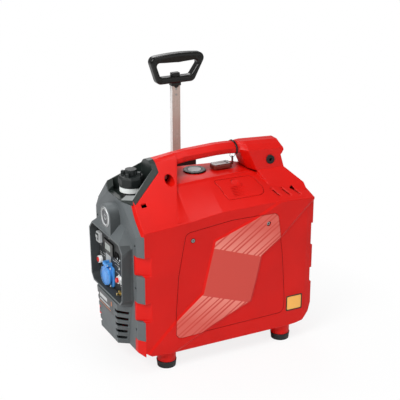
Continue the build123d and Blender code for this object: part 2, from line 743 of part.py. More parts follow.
# ---------------------------------------------------------------- fuel collar, neck and cap
cut_foot = collar_floor + 7.5
with BuildPart() as fuel_collar:
    add(ruled([(Plane.YZ.offset(x), pillar_outline(x)) for x in (plate_x, collar_back_x + 10)]))
    add(slab(inset(fan, seam), Plane.XY.offset(collar_floor), handle_top - collar_floor), mode=Mode.INTERSECT)
    panel_space = block((plate_x - 5, -case_width, 0), (shell_x + seam, case_width, panel_top + seam))
    add(panel_space, mode=Mode.SUBTRACT)
    add(
        slab(
            [(plate_x - 8, cut_foot), (filler_x + 33, cut_foot + 60), (filler_x + 33, cut_foot + 100),
             (plate_x - 8, cut_foot + 100)],
            Plane.XZ, case_width, both=True,
        ),
        mode=Mode.SUBTRACT,
    )
    add(slab(inset(fan, collar_band), Plane.XY.offset(collar_floor + wall), 120), mode=Mode.SUBTRACT)
    front_gap = plate_top_half - 4
    mouth = block((plate_x - 1, -front_gap, panel_top + 1), (shell_x + 4, front_gap, cap_high))
    add(mouth, mode=Mode.SUBTRACT)
    add(rod(neck_radius, (filler_x, 0, collar_floor - 5), (0, 0, 1), 20), mode=Mode.SUBTRACT)
keep(fuel_collar, "fuel_collar")

tank_top = collar_floor - 5
tank_front, tank_back, tank_low = filler_x - 13, gauge_x + 24, 322.0
tank_half = side_y - 49.5
neck_top = cap_low + 10
with BuildPart() as fuel_tank:
    add(block((tank_front, -tank_half, tank_low), (tank_back, tank_half, tank_top)))
    inner_half = tank_half - wall
    add(
        block(
            (tank_front + wall, -inner_half, tank_low + wall),
            (tank_back - wall, inner_half, tank_top - wall),
        ),
        mode=Mode.SUBTRACT,
    )
    spout_half = neck_radius + 5
    add(block((filler_x - neck_radius, -spout_half, tank_top - 20), (tank_front, spout_half, tank_top)))
    add(rod(neck_radius, (filler_x, 0, tank_top - wall), (0, 0, 1), neck_top - tank_top + wall))
    neck_bore = rod(neck_radius - 4, (filler_x, 0, tank_top - wall - 1), (0, 0, 1), neck_top - tank_low)
    add(neck_bore, mode=Mode.SUBTRACT)
    add(rod(gauge_stem - wall, (gauge_x, gauge_y, tank_top - wall - 1), (0, 0, 1), 10), mode=Mode.SUBTRACT)
keep(fuel_tank, "fuel_tank")

with BuildPart() as cap_gasket:
    gasket_base = (filler_x, 0, cap_low - gasket_height)
    add(rod(gasket_radius, gasket_base, (0, 0, 1), gasket_height, neck_radius + play))
keep(cap_gasket, "cap_gasket")

cap_sides, skirt_height, lug_height = 8, 6.0, 9.0
cap_body = cap_high - cap_low - 2 * skirt_height
with BuildPart() as fuel_cap:
    add(rod(cap_radius - 2, (filler_x, 0, cap_low), (0, 0, 1), skirt_height))
    with BuildSketch(Plane.XY.offset(cap_low + skirt_height)):
        with Locations((filler_x, 0)):
            RegularPolygon(cap_radius, cap_sides, rotation=22.5)
    extrude(amount=cap_body)
    with BuildSketch(Plane.XY.offset(cap_high - skirt_height)):
        with Locations((filler_x, 0)):
            RegularPolygon(cap_radius, cap_sides, rotation=22.5)
    extrude(amount=skirt_height, taper=20)
    with BuildSketch(Plane.XY.offset(cap_high - 1)):
        with Locations((filler_x, 0)):
            with PolarLocations(knob_radius + 6.5, 4, 45):
                Rectangle(8, 8)
    extrude(amount=lug_height + 1)
    neck_space = rod(neck_radius + play, (filler_x, 0, cap_low - 1), (0, 0, 1), neck_top - cap_low + 2)
    add(neck_space, mode=Mode.SUBTRACT)
    add(rod(4.0, (filler_x, 0, cap_low), (0, 0, 1), cap_high), mode=Mode.SUBTRACT)
keep(fuel_cap, "fuel_cap")

with BuildPart() as vent_knob:
    add(rod(4.0 - fit_gap, (filler_x, 0, neck_top + 2), (0, 0, 1), cap_high - neck_top))
    add(rod(knob_radius, (filler_x, 0, cap_high + play / 2), (0, 0, 1), knob_high - cap_high))
    with BuildSketch(Plane.XY.offset(cap_high + play / 2)):
        with Locations((filler_x, 0)):
            with PolarLocations(knob_radius, 6):
                Circle(1.5)
    extrude(amount=knob_high - cap_high - 3)
keep(vent_knob, "vent_knob")

# ---------------------------------------------------------------- fuel gauge and handle plug
with BuildPart() as gauge_ring:
    add(rod(gauge_radius, (gauge_x, gauge_y, deck_height), (0, 0, 1), 4.0))
    add(rod(gauge_stem, (gauge_x, gauge_y, tank_top), (0, 0, 1), deck_height - tank_top))
    fillet(edges().filter_by(GeomType.CIRCLE).sort_by(Axis.Z)[-1:], 1.5)
    add(rod(lens_radius, (gauge_x, gauge_y, deck_height + 1), (0, 0, 1), 5), mode=Mode.SUBTRACT)
    add(rod(gauge_stem - wall, (gauge_x, gauge_y, tank_top), (0, 0, 1), deck_height), mode=Mode.SUBTRACT)
keep(gauge_ring, "gauge_ring")

with BuildPart() as gauge_lens:
    add(rod(lens_radius, (gauge_x, gauge_y, deck_height + 1), (0, 0, 1), 3.5))
    fillet(edges().sort_by(Axis.Z)[-1:], 1.2)
keep(gauge_lens, "gauge_lens")

plug_face_y = -block_half - block_lean * (block_crease - plug_z)
with BuildPart() as handle_plug:
    add(rod(plug_radius, (plug_x, plug_face_y + 8, plug_z), (0, -1, 0), 11))
    with BuildSketch(Plane(origin=(plug_x, plug_face_y - 3, plug_z), z_dir=(0, 1, 0))):
        RegularPolygon(4.5, 6)
    extrude(amount=6, mode=Mode.SUBTRACT)
keep(handle_plug, "handle_plug")

# ---------------------------------------------------------------- feet, wheels, base
with BuildPart() as rubber_feet:
    for x in foot_x:
        with BuildSketch(Plane.XY):
            with Locations((x, foot_y)):
                Circle(foot_radius - 2)
        with BuildSketch(Plane.XY.offset(foot_height)):
            with Locations((x, foot_y)):
                Circle(foot_radius)
        loft()
keep(rubber_feet, "rubber_feet")

dish_depth, dish_rim, hub_radius = 7.0, 12.0, 12.0
for name, x in zip(("front_wheel", "rear_wheel"), foot_x):
    with BuildPart() as wheel:
        add(rod(wheel_radius, (x - wheel_width / 2, wheel_y, wheel_radius), (1, 0, 0), wheel_width))
        fillet(edges().filter_by(GeomType.CIRCLE), 4)
        for end in (-wheel_width / 2, wheel_width / 2 - dish_depth):
            centre = (x + end, wheel_y, wheel_radius)
            dish = rod(wheel_radius - dish_rim, centre, (1, 0, 0), dish_depth, hub_radius)
            add(dish, mode=Mode.SUBTRACT)
        centre = (x - wheel_width, wheel_y, wheel_radius)
        bore = rod(axle_radius + fit_gap, centre, (1, 0, 0), 2 * wheel_width)
        add(bore, mode=Mode.SUBTRACT)
    keep(wheel, name)

with BuildPart() as wheel_axles:
    for x in foot_x:
        add(rod(axle_radius, (x - axle_length / 2, wheel_y, wheel_radius), (1, 0, 0), axle_length))
keep(wheel_axles, "wheel_axles")

tray_low = ground_gap + wall
tray_high = tray_low + tray_thickness
tray_far = well_inner_y - wall - 6  # clear of the wheel wells
post_radius = 11.0
with BuildPart() as base_tray:
    add(block((shell_x + 84, -(side_y - 11.5), tray_low), (rear_x - 65, tray_far, tray_high)))
    for x in (engine_x - 35, engine_x + 35):
        for y in (-40.0, tray_far - 12):
            add(rod(post_radius, (x, y, tray_high), (0, 0, 1), engine_foot - tray_high))
keep(base_tray, "base_tray")

drain_x, drain_y = 30.0, foot_y - 5
with BuildPart() as drain_tube:
    add(rod(3.0, (drain_x, drain_y, ground_gap - 9), (0, 0, 1), 9, 1.6))
keep(drain_tube, "drain_tube")

# ---------------------------------------------------------------- console
desk_x = console_x + recess_depth  # front face of the console plate
rocker_place = (rim_half - 20, 281.0)
display_place = (rim_half - 74, 272.0)
lcd_place = (display_place[0] + 2, display_place[1])
socket_place = (rim_half - 78, 202.0)
dc_breaker_place = (rim_half - 20, 221.0)
ac_breaker_place = (socket_place[0] - 58, 211.0)
dc_socket_place = (rim_half - 28, 189.0)
ground_place = (socket_place[0] - 76, 183.5)
lamp_places = [(display_place[0] - 61, 238.0)] + [(display_place[0] - 52 - 13 * i, 262.0) for i in range(3)]


def pad(place, size, start, depth):
    """A plate standing on the console, centred on a place."""
    (y, z), (wide, tall) = place, size
    low_x, high_x = sorted((start, start + depth))
    return block((low_x, y - wide / 2, z - tall / 2), (high_x, y + wide / 2, z + tall / 2))


def stud(place, radius, start, length, bore=0):
    """A round piece along X on the console, centred on a place."""
    return rod(radius, (start, place[0], place[1]), (1, 0, 0), length, bore)


with BuildPart() as console_plate:
    add(slab(recess_outline, Plane.YZ.offset(desk_x), wall))
    add(stud(socket_place, socket_radius, desk_x - 1, wall + 2), mode=Mode.SUBTRACT)
    for place in (dc_breaker_place, ac_breaker_place):
        add(stud(place, breaker_radius + play, desk_x - 1, wall + 2), mode=Mode.SUBTRACT)
keep(console_plate, "console_plate")

with BuildPart() as display_bezel:
    add(pad(display_place, display_size, desk_x, -display_out))
    fillet(edges().filter_by(Axis.X), 4)
    chamfer(faces().sort_by(Axis.X)[0].edges(), 1)
    add(pad(lcd_place, lcd_size, desk_x - display_out - 1, 2.5), mode=Mode.SUBTRACT)
keep(display_bezel, "display_bezel")

with BuildPart() as display_window:
    add(pad(lcd_place, lcd_size, desk_x - display_out + 1.5, -1.2))
keep(display_window, "display_window")

rocker_axis_x = desk_x - rocker_out + 1
rocker_inner = (rocker_size[0] - 6, rocker_size[1] - 6)
trunnion_radius, trunnion_length = 1.2, rocker_size[0] - 3
trunnion = (rocker_axis_x, rocker_place[0] - trunnion_length / 2, rocker_place[1])
with BuildPart() as rocker_bezel:
    add(pad(rocker_place, rocker_size, desk_x, -rocker_out))
    chamfer(faces().sort_by(Axis.X)[0].edges(), 1)
    add(pad(rocker_place, rocker_inner, desk_x - rocker_out - 1, rocker_out), mode=Mode.SUBTRACT)
    bearing_start = (rocker_axis_x, trunnion[1] - play / 2, rocker_place[1])
    bearing = rod(trunnion_radius + fit_gap, bearing_start, (0, 1, 0), trunnion_length + play)
    add(bearing, mode=Mode.SUBTRACT)
keep(rocker_bezel, "rocker_bezel")

rocker_width = rocker_inner[0] - 1
with BuildPart() as rocker_switch:
    with BuildSketch(Plane.XZ.offset(-rocker_place[0] - rocker_width / 2)):
        with Locations((rocker_axis_x, rocker_place[1])):
            Polygon((-1.0, 0.0), (-3.5, 9.0), (2.5, 9.0), (4.5, 0.0), (2.5, -9.0), (0.5, -9.0), align=None)
    extrude(amount=rocker_width)
    add(rod(trunnion_radius, trunnion, (0, 1, 0), trunnion_length))
keep(rocker_switch, "rocker_switch")

button_radius = start_radius - start_bezel - play
with BuildPart() as start_ring:
    add(rod(start_radius, (boss_x - 1.5, 0, boss_z), (1, 0, 0), 6.5, start_radius - start_bezel))
    chamfer(edges().filter_by(GeomType.CIRCLE).group_by(Axis.X)[0], 1.0)
keep(start_ring, "start_ring")

with BuildPart() as start_button:
    add(rod(button_radius, (boss_x + 0.5, 0, boss_z), (1, 0, 0), start_travel + 13))
    fillet(edges().filter_by(GeomType.CIRCLE).group_by(Axis.X)[0], 1.5)
keep(start_button, "start_button")

for name, place in (("dc_breaker", dc_breaker_place), ("ac_breaker", ac_breaker_place)):
    with BuildPart() as breaker:
        add(stud(place, breaker_radius, desk_x - breaker_out, breaker_out + breaker_travel + 7))
        fillet(edges().filter_by(GeomType.CIRCLE).group_by(Axis.X)[0], 2)
    keep(breaker, name)

with BuildPart() as breaker_collars:
    for place in (dc_breaker_place, ac_breaker_place):
        add(stud(place, collar_radius, desk_x - 6, 6, breaker_radius + play))
keep(breaker_collars, "breaker_collars")

hinge_z = socket_place[1] + socket_lid_radius + 5
hinge_x = desk_x - socket_out - 4
lug_gap = 9.0  # from the middle of the hinge to each of its lugs
with BuildPart() as socket_base:
    add(pad(socket_place, (socket_flange, socket_flange), desk_x, -4.0))
    fillet(edges().filter_by(Axis.X), 6)
    add(stud(socket_place, socket_radius, desk_x - socket_out, socket_out + 26))
    for y in (socket_place[0] - lug_gap, socket_place[0] + lug_gap):
        add(block((hinge_x - 3, y - 3, hinge_z - 4), (desk_x, y + 3, hinge_z + 4)))
    add(stud(socket_place, socket_radius - wall, desk_x - socket_out - 1, 18), mode=Mode.SUBTRACT)
    for y in (socket_place[0] - 9.5, socket_place[0] + 9.5):
        add(stud((y, socket_place[1]), 2.6, desk_x, 20), mode=Mode.SUBTRACT)
    add(rod(pin_radius, (hinge_x, socket_place[0] - 20, hinge_z), (0, 1, 0), 40), mode=Mode.SUBTRACT)
keep(socket_base, "socket_base")

lid_back_x = desk_x - socket_out - play
knuckle = lug_gap - 3.5  # half length of the lid's knuckle
with BuildPart() as socket_lid:
    add(stud(socket_place, socket_lid_radius, lid_back_x - socket_lid_thickness, socket_lid_thickness))
    chamfer(edges().filter_by(GeomType.CIRCLE).group_by(Axis.X)[0], 1.5)
    add(block(
        (lid_back_x - socket_lid_thickness, socket_place[0] - knuckle, socket_place[1]),
        (lid_back_x, socket_place[0] + knuckle, hinge_z),
    ))
    add(rod(3.5, (hinge_x, socket_place[0] - knuckle, hinge_z), (0, 1, 0), 2 * knuckle))
    bore_start = (hinge_x, socket_place[0] - lug_gap, hinge_z)
    pin_bore = rod(pin_radius + fit_gap, bore_start, (0, 1, 0), 2 * lug_gap)
    add(pin_bore, mode=Mode.SUBTRACT)
keep(socket_lid, "socket_lid")

with BuildPart() as socket_hinge_pin:
    add(rod(pin_radius, (hinge_x, socket_place[0] - lug_gap - 3, hinge_z), (0, 1, 0), 2 * (lug_gap + 3)))
keep(socket_hinge_pin, "socket_hinge_pin")

with BuildPart() as dc_socket:
    add(stud(dc_socket_place, 11.0, desk_x - 5, 5))
    chamfer(edges().filter_by(GeomType.CIRCLE).group_by(Axis.X)[0], 1.5)
    for y in (dc_socket_place[0] - 3.5, dc_socket_place[0] + 3.5):
        add(pad((y, dc_socket_place[1]), (1.6, 7.0), desk_x - 6, 4), mode=Mode.SUBTRACT)
keep(dc_socket, "dc_socket")

with BuildPart() as indicator_lamps:
    for place in lamp_places:
        add(stud(place, 2.4, desk_x - 2, 2))
    fillet(edges().filter_by(GeomType.CIRCLE).group_by(Axis.X)[0], 1.2)
keep(indicator_lamps, "indicator_lamps")

stud_radius, wing_reach = 3.0, 9.5
with BuildPart() as ground_stud:
    add(stud(ground_place, stud_radius, desk_x - 17, 17))
    add(stud(ground_place, 7.0, desk_x - 3, 3))
keep(ground_stud, "ground_stud")

with BuildPart() as wing_nut:
    add(stud(ground_place, 6.0, desk_x - 10, 6.5, stud_radius + fit_gap))
    for side in (-1, 1):
        wing = [(5, -2.5), (wing_reach, 0.5), (wing_reach, 4.5), (5, 2.5)]
        outline = [(ground_place[0] + side * y, ground_place[1] + z) for y, z in wing]
        add(slab(outline, Plane.YZ.offset(desk_x - 9), 4.0))
keep(wing_nut, "wing_nut")

# ---------------------------------------------------------------- trolley


def upright(size, low, high, hollow=None):
    """A rectangular post on the pole's axis, with an optional bore of its own size."""
    with BuildPart() as post:
        with BuildSketch(Plane.XY.offset(low)):
            with Locations((0, pole_y)):
                Rectangle(*size)
                if hollow:
                    Rectangle(*hollow, mode=Mode.SUBTRACT)
        extrude(amount=high - low)
    return post.part


def grown(size, amount):
    """A rectangle's size with the amount added to both of its sides."""
    return tuple(side + amount for side in size)


with BuildPart() as trolley_guide:
    add(upright(guide_size, guide_foot, bracket_top, grown(pole_size, play)))
keep(trolley_guide, "trolley_guide")

with BuildPart() as trolley_bracket:
    add(block((-24.0, pole_y - 19, shoulder_mid + 2), (50.0, pole_y + 14, bracket_top)))
    fillet(edges().filter_by(Axis.Z), 4)
    chamfer(faces().sort_by(Axis.Z)[-1].edges(), 2)
    add(outer.part, mode=Mode.SUBTRACT)
    add(upright(guide_size, guide_foot, bracket_top + 1), mode=Mode.SUBTRACT)
keep(trolley_bracket, "trolley_bracket")

dimple_drops = (34.0, 20.0)
with BuildPart() as trolley_pole:
    add(upright(pole_size, pole_foot, pole_head, grown(pole_size, -2 * pole_wall)))
    for drop in dimple_drops:
        start = (0, pole_y - pole_size[1] / 2 - 1, pole_head - drop)
        add(rod(2.6, start, (0, 1, 0), 1.6), mode=Mode.SUBTRACT)
keep(trolley_pole, "trolley_pole")

grip_top = grip_foot + grip_height
button_low = grip_foot + grip_bar - 8
side_bar = 18.0  # width of the grip's side bars
foot_shift, top_shift = grip_shift
with BuildPart() as trolley_grip:
    with BuildSketch(Plane.XZ.offset(-pole_y - grip_depth / 2)):
        front_ear = (top_shift - grip_half_top, grip_top - 6)
        back_ear = (top_shift + grip_half_top, grip_top - 6)
        with BuildLine():
            Polyline(
                back_ear, (foot_shift + grip_half_foot, grip_foot),
                (foot_shift - grip_half_foot, grip_foot), front_ear,
            )
            ThreePointArc(front_ear, (top_shift, grip_top), back_ear)
        make_face()
        fillet(vertices(), 15)
    extrude(amount=grip_depth)
    with BuildSketch(Plane.XZ.offset(-pole_y - grip_depth / 2 - 1)):
        top_half, foot_half, shoulder = grip_half_top - side_bar, grip_half_foot - 9, grip_top - 20
        window_front, window_back = (top_shift - top_half, shoulder), (top_shift + top_half, shoulder)
        with BuildLine():
            Polyline(
                window_back, (foot_shift + foot_half, grip_foot + grip_bar),
                (foot_shift - foot_half, grip_foot + grip_bar), window_front,
            )
            ThreePointArc(window_back, (top_shift, shoulder - 3), window_front)
        make_face()
        fillet(vertices(), 8)
    extrude(amount=grip_depth + 2, mode=Mode.SUBTRACT)
    fillet(faces().filter_by(Axis.Y).edges(), 5.5)
    add(upright(grown(pole_size, 3), grip_foot - 7, grip_foot + 3))
    add(upright(pole_size, grip_foot - 8, pole_head), mode=Mode.SUBTRACT)
    slot = upright(grown(button_size, 2 * play), button_low - button_travel - 1, grip_foot + grip_bar + 1)
    add(slot, mode=Mode.SUBTRACT)
    add(rod(3.0, (0, pole_y, pole_head - 5), (0, 0, 1), 20), mode=Mode.SUBTRACT)
keep(trolley_grip, "trolley_grip")

with BuildPart() as grip_button:
    add(upright(button_size, button_low, grip_foot + grip_bar + 8.5))
    fillet(edges().filter_by(Axis.Z), 3)
    fillet(faces().sort_by(Axis.Z)[-1].edges(), 2)
    add(rod(2.4, (0, pole_y, pole_foot + 10), (0, 0, 1), button_low - pole_foot - 10))
keep(grip_button, "grip_button")

# ---------------------------------------------------------------- key strap, ring and remote
strap_x = block_front_x - 17
strap_z = bar_top(strap_x) - handle_height / 2
ring_radius, ring_wire = 7.0, 0.8
eye_bore, eye_half = 2.2, 3.5
ring_z = strap_z - handle_height / 2 - 10
strap_edge = bar_top(strap_x) - handle_crown
with BuildPart() as key_strap:
    with BuildSketch(Plane.YZ.offset(strap_x - 2)):
        for grow, mode in ((2.0, Mode.ADD), (0.6, Mode.SUBTRACT)):
            half, foot = handle_half + grow, bar_top(strap_x) - handle_height - grow
            lower = [(half - 3, foot), (half, foot + 3)]
            outline = closed(lower + crowned(half, strap_edge + grow, handle_crown))
            Polygon(*outline, align=None, mode=mode)
    extrude(amount=4)
    eye_low, eye_high = ring_z + ring_radius - eye_half, strap_z - handle_height / 2 - 1.2
    add(block((strap_x - 0.8, -eye_half, eye_low), (strap_x + 0.8, eye_half, eye_high)))
    add(rod(eye_bore, (strap_x - 5, 0, ring_z + ring_radius), (1, 0, 0), 10), mode=Mode.SUBTRACT)
keep(key_strap, "key_strap")

with BuildPart() as key_ring:
    with BuildSketch(Plane.YZ.offset(strap_x)):
        with Locations((0, ring_z + ring_radius)):
            Circle(ring_wire)
    revolve(axis=Axis((strap_x, 0, ring_z), (0, 1, 0)))
keep(key_ring, "key_ring")

fob_low = deck_height + 1.0
fob_length, fob_width, fob_height = 52.0, 30.0, 12.0
fob_back = strap_x - 6
with BuildPart() as remote_fob:
    fob_half = fob_width / 2
    add(block((fob_back - fob_length, -fob_half, fob_low), (fob_back, fob_half, fob_low + fob_height)))
    fillet(edges().filter_by(Axis.Z), 8)
    fillet(edges().group_by(Axis.Z)[-1], 3)
    fillet(edges().group_by(Axis.Z)[0], 2)
    add(block((fob_back - 1, -2.5, fob_low + 4), (strap_x + 0.8, 2.5, fob_low + 8)))
    eye_top = ring_z - ring_radius + eye_half
    add(block((strap_x - 0.8, -eye_half, fob_low + 4), (strap_x + 0.8, eye_half, eye_top)))
    add(rod(eye_bore, (strap_x - 5, 0, ring_z - ring_radius), (1, 0, 0), 10), mode=Mode.SUBTRACT)
keep(remote_fob, "remote_fob")

# ---------------------------------------------------------------- engine and alternator
case_front, case_back = engine_x - engine_half, engine_x + engine_half
web_radius, web_width, chamber_wall = 36.0, 16.0, 18.0
with BuildPart() as crankcase:
    add(block((case_front, -case_half_y, engine_foot), (case_back, case_half_y, case_high)))
    fillet(edges().filter_by(Axis.X), 14)
    chamber = (case_front + chamber_wall, 0, crank_z)
    add(rod(web_radius + 6, chamber, (1, 0, 0), 2 * (engine_half - chamber_wall)), mode=Mode.SUBTRACT)
    bearing_start = (case_front - 1, 0, crank_z)
    add(rod(crank_radius + fit_gap, bearing_start, (1, 0, 0), 2 * engine_half + 2), mode=Mode.SUBTRACT)
    add(rod(bore_radius, (engine_x, 0, crank_z + 30), (0, 0, 1), case_high - crank_z), mode=Mode.SUBTRACT)
keep(crankcase, "crankcase")

fin_half, head_half, fin_pitch, fin_thickness = 44.0, 42.0, 10.0, 3.0
plug_axis = (0, -1, 1)
plug_base = (engine_x, -22.0, head_high - 20)
with BuildPart() as cylinder:
    add(block((engine_x - head_half, -head_half, head_low), (engine_x + head_half, head_half, head_high)))
    fillet(edges().filter_by(Axis.Z), 8)
    add(rod(bore_radius + 6, (engine_x, 0, case_high), (0, 0, 1), head_low - case_high))
    for i in range(8):
        z = case_high + 8 + i * fin_pitch
        add(block((engine_x - fin_half, -fin_half, z), (engine_x + fin_half, fin_half, z + fin_thickness)))
    cylinder_bore = rod(bore_radius, (engine_x, 0, case_high - 1), (0, 0, 1), head_low - case_high + 5)
    add(cylinder_bore, mode=Mode.SUBTRACT)
    add(rod(5.0, plug_base, plug_axis, 60), mode=Mode.SUBTRACT)
keep(cylinder, "cylinder")

with BuildPart() as spark_plug:
    add(rod(5.0, plug_base, plug_axis, 30))
    add(rod(3.0, plug_base, plug_axis, 55))
    with BuildSketch(Plane(origin=(engine_x, plug_base[1] - 20, plug_base[2] + 20), z_dir=plug_axis)):
        RegularPolygon(8, 6)
    extrude(amount=8)
keep(spark_plug, "spark_plug")

with BuildPart() as piston:
    add(rod(bore_radius, (engine_x, 0, head_low - 50), (0, 0, 1), 38, bore_radius - 5))
    add(rod(bore_radius, (engine_x, 0, head_low - 18), (0, 0, 1), 6))
keep(piston, "piston")

rotor_x = case_front - 74
shaft_x = rotor_x - 30
with BuildPart() as crankshaft:
    add(rod(crank_radius, (shaft_x, 0, crank_z), (1, 0, 0), case_back + 8 - shaft_x))
    add(rod(web_radius, (case_front + 24, 0, crank_z), (1, 0, 0), web_width))
    add(rod(web_radius, (case_back - 24 - web_width, 0, crank_z), (1, 0, 0), web_width))
keep(crankshaft, "crankshaft")

stator_radius, magnet_gap, rotor_radius, rotor_depth = 56.0, 2.0, 70.0, 50.0
coil_count, coil_radius, stack = 12, 45.0, 34.0
stator_x = rotor_x + 14
with BuildPart() as stator:
    add(rod(stator_radius, (stator_x, 0, crank_z), (1, 0, 0), stack, crank_radius + 6))
    with BuildSketch(Plane.YZ.offset(stator_x - 6)):
        with Locations((0, crank_z)):
            with PolarLocations(coil_radius, coil_count):
                Circle(6)
    extrude(amount=stack + 12, mode=Mode.SUBTRACT)
    add(rod(30.0, (stator_x + stack, 0, crank_z), (1, 0, 0), case_front - stator_x - stack, crank_radius + 6))
keep(stator, "stator")

with BuildPart() as rotor:
    add(rod(rotor_radius, (rotor_x, 0, crank_z), (1, 0, 0), rotor_depth))
    magnet_space = rod(stator_radius + magnet_gap, (rotor_x + 8, 0, crank_z), (1, 0, 0), rotor_depth)
    add(magnet_space, mode=Mode.SUBTRACT)
    add(rod(crank_radius, (rotor_x - 1, 0, crank_z), (1, 0, 0), rotor_depth), mode=Mode.SUBTRACT)
keep(rotor, "rotor")

with BuildPart() as cooling_fan:
    add(rod(rotor_radius + 6, (rotor_x - 6, 0, crank_z), (1, 0, 0), 6, crank_radius))
    with BuildSketch(Plane.YZ.offset(rotor_x - 24)):
        with Locations((0, crank_z)):
            with PolarLocations(rotor_radius - 18, 12):
                Rectangle(38, 3, rotation=25)
    extrude(amount=20)
keep(cooling_fan, "cooling_fan")

filter_back_y = -80.0
with BuildPart() as carburettor:
    add(block((engine_x - 20, filter_back_y + 10, 290), (engine_x + 20, -fin_half, 328)))
    fillet(edges().filter_by(Axis.Y), 6)
    add(rod(12.0, (engine_x, filter_back_y, 308), (0, 1, 0), 30))
    add(rod(9.0, (engine_x, filter_back_y - 1, 308), (0, 1, 0), 30), mode=Mode.SUBTRACT)
keep(carburettor, "carburettor")

with BuildPart() as air_filter:
    add(block((case_front, -(side_y - 13.5), case_high), (case_back, filter_back_y, 325)))
    fillet(edges(), 6)
keep(air_filter, "air_filter")

oil_cap_z = 110.0
with BuildPart() as oil_cap:
    add(rod(13.0, (engine_x, -case_half_y, oil_cap_z), (0, -1, 0), 12))
    add(block(
        (engine_x - 12, -case_half_y - 20, oil_cap_z - 2.5),
        (engine_x + 12, -case_half_y - 11, oil_cap_z + 2.5),
    ))
keep(oil_cap, "oil_cap")

muffler_front, muffler_back = case_back + 25, rear_x - 18
with BuildPart() as muffler:
    add(block((muffler_front, -70, 190), (muffler_back, 60, 345)))
    fillet(edges(), 14)
    add(rod(12.0, (engine_x + 40, 0, 300), (1, 0, 0), muffler_front + 2 - engine_x - 40))
    add(rod(outlet_radius, (muffler_back - 7, outlet_y, outlet_z), (1, 0, 0), rear_x - muffler_back + 6))
    outlet_start = (muffler_back - 4, outlet_y, outlet_z)
    add(rod(outlet_radius - wall, outlet_start, (1, 0, 0), rear_x), mode=Mode.SUBTRACT)
    add(cylinder.part, mode=Mode.SUBTRACT)
keep(muffler, "muffler")

inverter_x, inverter_low, inverter_high = shell_x + 69, 62.0, 200.0
inverter_near = tray_far - 122  # the module's near side
sink_pitch, sink_count = 18.5, 7
with BuildPart() as inverter_module:
    add(block((inverter_x, inverter_near, inverter_low), (inverter_x + 18, tray_far, inverter_high)))
    for i in range(sink_count):
        y = inverter_near + i * sink_pitch
        add(block((inverter_x + 18, y, inverter_low), (inverter_x + 40, y + 4, inverter_high)))
    for y in (inverter_near + 10, inverter_near + 100):
        add(block((inverter_x + 15, y, tray_high), (inverter_x + 27, y + 10, inverter_low + 5)))
keep(inverter_module, "inverter_module")

battery_near = -(side_y - 15.5)
with BuildPart() as battery:
    add(block((case_back + 17, battery_near, tray_high), (case_back + 61, battery_near + 74, 125)))
    fillet(edges().filter_by(Axis.Z), 4)
keep(battery, "battery")
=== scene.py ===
"""Looks of the portable inverter generator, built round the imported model."""
import math

import bmesh
import bpy
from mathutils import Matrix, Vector


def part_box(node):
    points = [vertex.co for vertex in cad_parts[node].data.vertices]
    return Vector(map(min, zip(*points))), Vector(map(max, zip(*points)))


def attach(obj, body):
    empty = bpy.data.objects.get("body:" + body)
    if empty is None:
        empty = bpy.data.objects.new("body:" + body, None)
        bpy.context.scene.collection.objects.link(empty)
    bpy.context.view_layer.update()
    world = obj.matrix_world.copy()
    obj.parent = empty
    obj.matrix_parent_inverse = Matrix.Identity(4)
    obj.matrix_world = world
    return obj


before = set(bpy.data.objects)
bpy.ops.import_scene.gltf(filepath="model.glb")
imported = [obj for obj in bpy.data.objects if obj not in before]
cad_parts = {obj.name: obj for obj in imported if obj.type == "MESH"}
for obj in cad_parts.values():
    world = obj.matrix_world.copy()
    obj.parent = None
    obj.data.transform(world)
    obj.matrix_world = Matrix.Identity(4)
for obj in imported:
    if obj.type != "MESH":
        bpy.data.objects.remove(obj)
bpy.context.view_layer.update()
scene = bpy.context.scene
scene.view_settings.view_transform = "Standard"
MM = 0.001


def extent(node):
    """A node's lowest and highest corners, in mm to a tenth."""
    return [[round(value / MM, 1) for value in corner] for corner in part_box(node)]


def middle(node):
    """The middle of a node's box, in mm to a tenth."""
    return [round((low + high) / 2 / MM, 1) for low, high in zip(*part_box(node))]


# ---------------------------------------------------------------- camera
turn, tilt = math.radians(27.0), math.radians(20.5)
camera = bpy.data.objects.new("camera", bpy.data.cameras.new("camera"))
camera.location = (-1.1504, -2.2680, 1.3162)
camera.rotation_euler = (math.pi / 2 - tilt, 0.0, -turn)
camera.data.lens = 99.0
camera.data.sensor_width = 36.0
scene.collection.objects.link(camera)
scene.camera = camera


# ---------------------------------------------------------------- materials
def srgb(*levels):
    """A colour written as 0 to 255 screen values, as the linear values shaders take."""
    shares = [level / 255 for level in levels]
    linear = [c / 12.92 if c <= 0.04045 else ((c + 0.055) / 1.055) ** 2.4 for c in shares]
    return (*linear, 1.0)


def scaled(colour, factor):
    """A linear colour made lighter or darker."""
    return (*[min(1.0, c * factor) for c in colour[:3]], 1.0)


